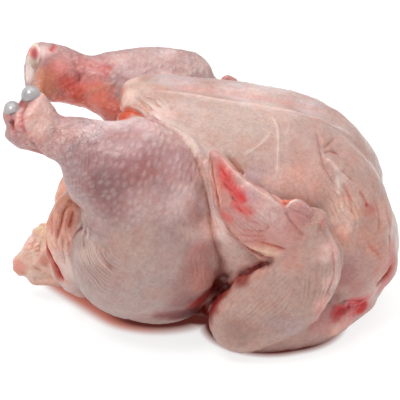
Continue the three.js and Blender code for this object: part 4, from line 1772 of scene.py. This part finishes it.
@dataclass(frozen=True)
class BoneEnd:
    """A bone's end as one smooth solid made of knobs.

    Attributes:
        name: the piece's name.
        knobs: the heads that it is joined from.
        hollow: a knob that is cut out of it.
        voxel: how finely it is meshed, in millimetres.
    """

    name: str
    knobs: tuple[Knob, ...]
    hollow: Knob | None = None
    voxel: float = 0.45

    def head(self, knob: Knob) -> bpy.types.Object:
        """One knob as a stretched ball."""
        bpy.ops.object.select_all(action="DESELECT")
        centre = Vector(knob.place) * MM
        bpy.ops.mesh.primitive_uv_sphere_add(segments=40, ring_count=24, radius=MM, location=centre)
        ball = bpy.context.object
        bpy.ops.object.mode_set(mode="EDIT")
        bpy.ops.mesh.select_all(action="SELECT")
        bpy.ops.transform.resize(value=knob.radii, center_override=centre)
        for axis, degrees in zip("XYZ", knob.turn):
            bpy.ops.transform.rotate(value=math.radians(degrees), orient_axis=axis, center_override=centre)
        bpy.ops.object.mode_set(mode="OBJECT")
        bpy.ops.object.transform_apply(location=True, rotation=True, scale=True)
        return ball

    def build(self, finish: bpy.types.Material) -> bpy.types.Object:
        """The finished piece."""
        balls = [self.head(knob) for knob in self.knobs]
        bpy.ops.object.select_all(action="DESELECT")
        for ball in balls:
            ball.select_set(True)
        bone = balls[0]
        bpy.context.view_layer.objects.active = bone
        bpy.ops.object.join()
        bone.name = self.name
        apply_modifier(bone, "REMESH", mode="VOXEL", voxel_size=self.voxel * MM, use_smooth_shade=True)
        if self.hollow:
            cutter = self.head(self.hollow)
            apply_modifier(bone, "BOOLEAN", operation="DIFFERENCE", object=cutter, solver="MANIFOLD")
            bpy.data.objects.remove(cutter)
            apply_modifier(bone, "REMESH", mode="VOXEL", voxel_size=self.voxel * MM, use_smooth_shade=True)
        apply_modifier(bone, "SMOOTH", factor=0.5, iterations=8)
        bone.data.shade_smooth()
        bone.data.materials.clear()
        bone.data.materials.append(finish)
        return bone


LEFT_CARTILAGE = BoneEnd(
    "shank_cartilage",
    (
        Knob((-82.2, -51.5, 138.8), (4.9, 5.2, 5.4), (0, 20, 0)),
        Knob((-91.2, -54, 132.2), (4.4, 5.6, 5), (0, 20, 0)),
        Knob((-85, -53, 128), (6.5, 4, 4), (0, -50, 0)),
    ),
)
RIGHT_BONE = BoneEnd(
    "sawn_shank_bone",
    (
        Knob((-90.3, 45.5, 126.8), (2.6, 8.3, 7.2), (0, 10, 25)),
        Knob((-87.5, 47, 126), (4, 6.5, 6.2), (0, 10, 25)),
    ),
    Knob((-92.8, 43.5, 128.8), (2.2, 3.2, 2.6), (0, 10, 25)),
)


# ------------------------------------------------------------------------------ finishes


class Nodes:
    """A material and short ways to add and join its shader nodes."""

    def __init__(self, name: str) -> None:
        """An empty material of that name, with its surface shader."""
        self.material = bpy.data.materials.new(name)
        self.material.use_nodes = True
        self.tree = self.material.node_tree
        self.shader = self.tree.nodes["Principled BSDF"]

    def add(
        self, kind: str, inputs: dict[str | int, object] | None = None, **settings: object
    ) -> bpy.types.Node:
        """Adds a node, sets it and feeds its inputs with numbers or with other nodes' outputs."""
        node = self.tree.nodes.new(kind)
        for key, value in settings.items():
            setattr(node, key, value)
        for key, value in (inputs or {}).items():
            self.feed(node, key, value)
        return node

    def feed(self, node: bpy.types.Node, key: str | int, value: object) -> None:
        """Sets one input of a node, or links another node's output to it."""
        if isinstance(value, Socket):
            self.tree.links.new(value, node.inputs[key])
        else:
            node.inputs[key].default_value = value

    def math(self, operation: str, a: object, b: object = 0.0) -> Socket:
        """The result of one sum on two values."""
        return self.add("ShaderNodeMath", {0: a, 1: b}, operation=operation).outputs[0]

    def vector(self, operation: str, a: object, b: object, output: str = "Vector") -> Socket:
        """The result of one sum on two vectors."""
        return self.add("ShaderNodeVectorMath", {0: a, 1: b}, operation=operation).outputs[output]

    def noise(self, size: float, detail: float = 2.0) -> Socket:
        """Noise over the object, with blotches so many millimetres wide."""
        place = self.add("ShaderNodeTexCoord").outputs["Object"]
        inputs = {"Vector": place, "Scale": 1 / (size * MM), "Detail": detail}
        return self.add("ShaderNodeTexNoise", inputs).outputs["Fac"]

    def span(self, value: object, low: float, high: float, first: float, last: float) -> Socket:
        """Stretches low..high to first..last, held at both ends."""
        inputs = {"Value": value, 1: low, 2: high, 3: first, 4: last}
        return self.add("ShaderNodeMapRange", inputs, interpolation_type="SMOOTHSTEP").outputs[0]

    def mix(self, share: object, a: object, b: object, blend: str = "MIX") -> Socket:
        """Two colours mixed by share."""
        node = self.add("ShaderNodeMix", data_type="RGBA", blend_type=blend)
        for key, value in ((0, share), (6, a), (7, b)):
            self.feed(node, key, value)
        return node.outputs[2]

    def attribute(self, name: str, output: str) -> Socket:
        """A value painted on the mesh."""
        return self.add("ShaderNodeAttribute", attribute_name=name).outputs[output]

    def bump(self, height: object, distance: float, strength: float = 1.0) -> Socket:
        """A normal bent by a height, whose full range is so many millimetres."""
        inputs = {"Height": height, "Distance": distance * MM, "Strength": strength}
        return self.add("ShaderNodeBump", inputs).outputs["Normal"]


@dataclass(frozen=True)
class SkinFinish:
    """Thin wet skin over flesh: light sinks in, feather pits stand out pale, fine wrinkles glint, hollows get
    painted shade.
    """

    pit_spacing: float = 3.3
    pit_colour: Tone = (232, 214, 208)
    depth: float = 2.5
    shine: float = 0.28

    def build(self) -> bpy.types.Material:
        """The skin's material."""
        nodes = Nodes("raw_skin")
        place = nodes.add("ShaderNodeTexCoord").outputs["Object"]
        upright = nodes.add("ShaderNodeMapping", {"Vector": place, "Scale": (1, 1, 0.62)}).outputs[0]
        spread = {"Scale": 1 / self.pit_spacing, "Randomness": 0.75}
        inputs = {"Vector": nodes.attribute("pit_map", "Vector")} | spread
        cells = nodes.add("ShaderNodeTexVoronoi", inputs, voronoi_dimensions="2D")
        faint = nodes.span(nodes.noise(6, 3), 0.35, 0.65, 0.45, 1.0)
        spots = nodes.math("MULTIPLY", nodes.span(cells.outputs["Distance"], 0.04, 0.55, 1, 0), faint)
        dots = nodes.math("MULTIPLY", spots, nodes.attribute("pits", "Fac"))
        leather = nodes.add(
            "ShaderNodeTexVoronoi", {"Vector": upright, "Scale": 1 / (2.1 * MM)}, feature="DISTANCE_TO_EDGE"
        ).outputs["Distance"]
        net = nodes.math("MULTIPLY", nodes.span(leather, 0.0, 0.22, 1, 0), nodes.attribute("net", "Fac"))
        wander = nodes.math("MULTIPLY", nodes.noise(3, 2), 0.5)
        phase = nodes.math("ADD", nodes.attribute("ripple", "Fac"), wander)
        wave = nodes.math("SINE", nodes.math("MULTIPLY", phase, 2 * math.pi))
        patchy = nodes.span(nodes.noise(7, 3), 0.35, 0.6, 0.2, 1.0)
        wave_weight = nodes.math("MULTIPLY", nodes.attribute("ripple_weight", "Fac"), patchy)
        trough = nodes.math("MULTIPLY", nodes.span(wave, 0.1, 1.0, 0, 1), wave_weight)
        seams = [self.seam(nodes, layer) for layer in range(SEAM_LAYERS)]
        broken = nodes.span(nodes.noise(4, 3), 0.35, 0.6, 0.35, 1.0)
        dark, raised = (nodes.math("MULTIPLY", self.strongest(nodes, found), broken) for found in zip(*seams))
        grain, fine_grain = nodes.noise(1.7, 3), nodes.noise(0.8, 2)
        tint = nodes.attribute("tint", "Color")
        # the first three shares tint at random; the grain, trough, net and crease shares darken the low parts
        # of the relief, painted shade
        stains = (
            (nodes.span(nodes.noise(11, 5), 0.45, 0.68, 0.0, 1.0), (1.0, 0.89, 0.86)),
            (nodes.span(nodes.noise(8, 6), 0.42, 0.66, 0.0, 1.0), (0.96, 1.01, 1.04)),
            (nodes.span(nodes.noise(4, 5), 0.4, 0.7, 0.0, 1.0), (0.94, 0.88, 0.87)),
            (nodes.span(grain, 0.35, 0.6, 1.0, 0.0), (0.93, 0.88, 0.87)),
            (nodes.span(fine_grain, 0.35, 0.62, 1.0, 0.0), (0.93, 0.9, 0.9)),
            (trough, (0.82, 0.66, 0.62)),
            (net, (0.92, 0.85, 0.84)),
            (dark, (0.84, 0.6, 0.54)),
        )
        colour = tint
        for share, tone in stains:
            colour = nodes.mix(share, colour, (*tone, 1), "MULTIPLY")
        pale = nodes.mix(nodes.math("MULTIPLY", dots, 0.2), colour, (*srgb(*self.pit_colour), 1))
        # paler along cords: mostly their own tone, on the thumb's rim a painted highlight
        lined = nodes.mix(nodes.math("MULTIPLY", raised, 0.7), pale, (*srgb(232, 212, 202), 1))
        low = nodes.math("ADD", nodes.math("MULTIPLY", net, 0.7), nodes.math("MULTIPLY", trough, 0.7))
        low = nodes.math("ADD", low, nodes.math("SUBTRACT", nodes.math("MULTIPLY", dark, 0.7), raised))
        high = nodes.math("ADD", nodes.math("MULTIPLY", grain, 0.4), nodes.math("MULTIPLY", dots, 0.65))
        high = nodes.math("ADD", high, nodes.math("MULTIPLY", fine_grain, 0.2))
        relief = nodes.math("SUBTRACT", high, low)
        rough = nodes.span(nodes.noise(9, 3), 0.3, 0.7, 0.34, 0.5)
        shader = nodes.shader
        nodes.feed(shader, "Base Color", lined)
        nodes.feed(shader, "Roughness", rough)
        nodes.feed(shader, "Normal", nodes.bump(relief, 0.7, 0.9))
        for key, value in (
            ("Subsurface Weight", 0.4),
            ("Subsurface Radius", (1.0, 0.35, 0.2)),
            ("Subsurface Scale", self.depth * MM),
            ("IOR", 1.36),
            ("Coat Weight", self.shine),
            ("Coat Roughness", 0.14),
            ("Coat IOR", 1.35),
        ):
            shader.inputs[key].default_value = value
        return nodes.material

    def seam(self, nodes: "Nodes", layer: int) -> tuple[Socket, Socket]:
        """The dark creases and the pale cords of one layer of seams."""
        seam = nodes.add("ShaderNodeSeparateXYZ", {0: nodes.attribute(f"seam_{layer}", "Vector")}).outputs
        core = nodes.span(nodes.math("ABSOLUTE", seam["X"]), 0.1, 1.0, 1, 0)
        return (
            nodes.math("MULTIPLY", core, nodes.math("MAXIMUM", seam["Y"], 0.0)),
            nodes.math("MULTIPLY", core, nodes.math("MULTIPLY", nodes.math("MINIMUM", seam["Y"], 0.0), -1.0)),
        )

    def strongest(self, nodes: "Nodes", values: tuple[Socket, ...]) -> Socket:
        """The largest of several values."""
        top = values[0]
        for value in values[1:]:
            top = nodes.math("MAXIMUM", top, value)
        return top


@dataclass(frozen=True)
class BoneFinish:
    """Cartilage or sawn bone: a main tone, a second tone in soft clouds, and a shine."""

    name: str
    tone: Tone
    second: Tone
    roughness: float
    shine: float
    marrow: Place | None = None
    marrow_reach: float = 4.0

    def build(self) -> bpy.types.Material:
        """The bone's material."""
        nodes = Nodes(self.name)
        clouds = nodes.span(nodes.noise(4, 3), 0.35, 0.7, 0, 1)
        colour = nodes.mix(clouds, (*srgb(*self.tone), 1), (*srgb(*self.second), 1))
        if self.marrow:
            place = nodes.add("ShaderNodeTexCoord").outputs["Object"]
            centre = tuple(c * MM for c in self.marrow)
            away = nodes.vector("DISTANCE", place, centre, "Value")
            near = nodes.span(nodes.math("DIVIDE", away, self.marrow_reach * MM), 0.6, 1.0, 1, 0)
            colour = nodes.mix(near, colour, (*srgb(196, 92, 96), 1))
        nodes.feed(nodes.shader, "Base Color", colour)
        nodes.feed(nodes.shader, "Normal", nodes.bump(nodes.noise(1.5, 2), 0.15, 0.5))
        for key, value in (
            ("Roughness", self.roughness),
            ("Subsurface Weight", 0.4),
            ("Subsurface Radius", (1.0, 0.7, 0.5)),
            ("Subsurface Scale", 1.5 * MM),
            ("Coat Weight", self.shine),
            ("Coat Roughness", 0.1),
        ):
            nodes.shader.inputs[key].default_value = value
        return nodes.material


CARTILAGE_FINISH = BoneFinish("wet_cartilage", (172, 168, 168), (150, 146, 148), 0.3, 0.8)
BONE_FINISH = BoneFinish("sawn_bone", (226, 210, 196), (214, 186, 172), 0.5, 0.2, (-92.8, 43.5, 128.8), 5.5)


# ------------------------------------------------------------------------------ studio


@dataclass(frozen=True)
class Shade:
    """A painted shadow on the floor where the bird rests: a thick line, and how far its edge fades, in mm."""

    start: tuple[float, float]
    end: tuple[float, float]
    radius: float
    fade: float

    def reach(self, nodes: Nodes, place: Socket) -> Socket:
        """How far out of the shade a place is, as a share of its fade."""
        start = Vector((*self.start, 0)) * MM
        line = Vector((*self.end, 0)) * MM - start
        away = nodes.vector("SUBTRACT", place, tuple(start))
        along = nodes.vector("DOT_PRODUCT", away, tuple(line), "Value")
        share = nodes.math("MAXIMUM", nodes.math("DIVIDE", along, line.length_squared), 0.0)
        share = nodes.math("MINIMUM", share, 1.0)
        nearest = nodes.add("ShaderNodeVectorMath", {0: tuple(line), 3: share}, operation="SCALE").outputs[0]
        gap = nodes.vector("DISTANCE", away, nearest, "Value")
        return nodes.math("DIVIDE", nodes.math("SUBTRACT", gap, self.radius * MM), self.fade * MM)


@dataclass(frozen=True)
class Studio:
    """A pale floor with painted shadows, soft light and the camera."""

    view: View = MAIN_VIEW
    shades: tuple[Shade, ...] = (
        Shade((-50, 37), (-22, 3), 33.5, 13),
        Shade((-34, 20), (60, 8), 30, 8),
        Shade((36, -27), (42, -25), 32, 7),
        Shade((-2, -12), (7, -13), 15, 9),
    )

    def floor(self) -> None:
        """A pale floor that isn't part of the object: it glows, and carries painted shadows round the bird
        with a painted red glow.
        """
        bpy.ops.mesh.primitive_plane_add(size=6, location=(0, 0, 0))
        ground = bpy.context.object
        ground.name = "studio_floor"
        nodes = Nodes("lit_floor")
        place = nodes.add("ShaderNodeTexCoord").outputs["Object"]
        gap = nodes.math("ADD", 3.0, 3.0)
        for shade in self.shades:
            gap = nodes.math("MINIMUM", gap, shade.reach(nodes, place))
        along = nodes.add("ShaderNodeSeparateXYZ", {0: place}).outputs["X"]
        # painted shadow round the bird: dark at the contact, then a painted glow of red bounced light, both
        # redder towards the tail end
        glow = nodes.mix(nodes.span(along, -0.05, 0.0, 0, 1), (0.56, 0.2, 0.15, 1), (0.5, 0.36, 0.34, 1))
        dark = nodes.mix(nodes.span(along, -0.06, -0.035, 0, 1), (0.42, 0.12, 0.09, 1), (0.1, 0.02, 0.016, 1))
        near = nodes.mix(nodes.span(gap, 0.0, 0.45, 0, 1), dark, glow)
        lit = nodes.mix(nodes.span(gap, 0.3, 1.0, 0, 1), near, (1, 1, 1, 1))
        nodes.feed(nodes.shader, "Base Color", nodes.mix(0.3, (0, 0, 0, 1), lit))
        nodes.feed(nodes.shader, "Roughness", 0.7)
        nodes.feed(nodes.shader, "Specular IOR Level", 0.2)
        # painted shadow as bounced and reflected light sees it: wider and darker than the camera sees it
        bounced = nodes.mix(nodes.span(gap, 0.0, 3.5, 0, 1), (0.1, 0.03, 0.025, 1), (1, 1, 1, 1))
        seen = nodes.add("ShaderNodeLightPath").outputs["Is Camera Ray"]
        nodes.feed(nodes.shader, "Emission Color", nodes.mix(seen, bounced, lit))
        nodes.feed(nodes.shader, "Emission Strength", 0.8)
        ground.data.materials.append(nodes.material)

    def light(self) -> None:
        """A big soft lamp overhead, a fill from the camera's side and a white sky."""
        world = bpy.data.worlds.new("studio_sky")
        world.use_nodes = True
        world.node_tree.nodes["Background"].inputs["Color"].default_value = (1, 1, 1, 1)
        world.node_tree.nodes["Background"].inputs["Strength"].default_value = 0.5
        bpy.context.scene.world = world
        for name, place, size, power in (
            ("key_light", (-0.4, -0.5, 1.3), 0.6, 13),
            ("top_light", (0.2, 0.3, 1.5), 1.2, 9),
        ):
            bpy.ops.object.light_add(type="AREA", location=place)
            lamp = bpy.context.object
            lamp.name = name
            lamp.data.size = size
            lamp.data.energy = power
            to_target = Vector(self.view.target) * MM - Vector(place)
            lamp.rotation_euler = to_target.to_track_quat("-Z", "Y").to_euler()

    def camera(self) -> None:
        """The camera, level with its own horizon and looking at the middle of the bird."""
        target = Vector(self.view.target) * MM
        away = Vector(self.view.away())
        bpy.ops.object.camera_add(location=target + away * self.view.distance * MM)
        camera = bpy.context.object
        camera.rotation_euler = (-away).to_track_quat("-Z", "Y").to_euler()
        camera.data.lens = self.view.lens
        camera.data.sensor_width = self.view.sensor
        camera.data.clip_start = 0.01
        bpy.context.scene.camera = camera

    def build(self) -> None:
        """The whole studio."""
        self.floor()
        self.light()
        self.camera()
        bpy.context.scene.view_settings.view_transform = "Standard"


def main() -> None:
    """Builds the bird and the studio, and reports each piece."""
    logging.basicConfig(level=logging.INFO, format="%(name)s: %(message)s")
    skin = Carcass().build()
    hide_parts("carcass")
    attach(skin, "root")
    log.info("skin: %d points, %d faces", len(skin.data.vertices), len(skin.data.polygons))
    for end, finish, node, slot in (
        (LEFT_CARTILAGE, CARTILAGE_FINISH, "left_shank_cartilage", "cartilage"),
        (RIGHT_BONE, BONE_FINISH, "right_shank_bone", "bone"),
    ):
        bone = end.build(finish.build())
        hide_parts(node)
        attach(bone, "root")
        size = [round(side / MM, 1) for side in bone.dimensions]
        log.info("%s: %d points, box %s", bone.name, len(bone.data.vertices), size)
    Studio().build()


if __name__ == "__main__":
    main()
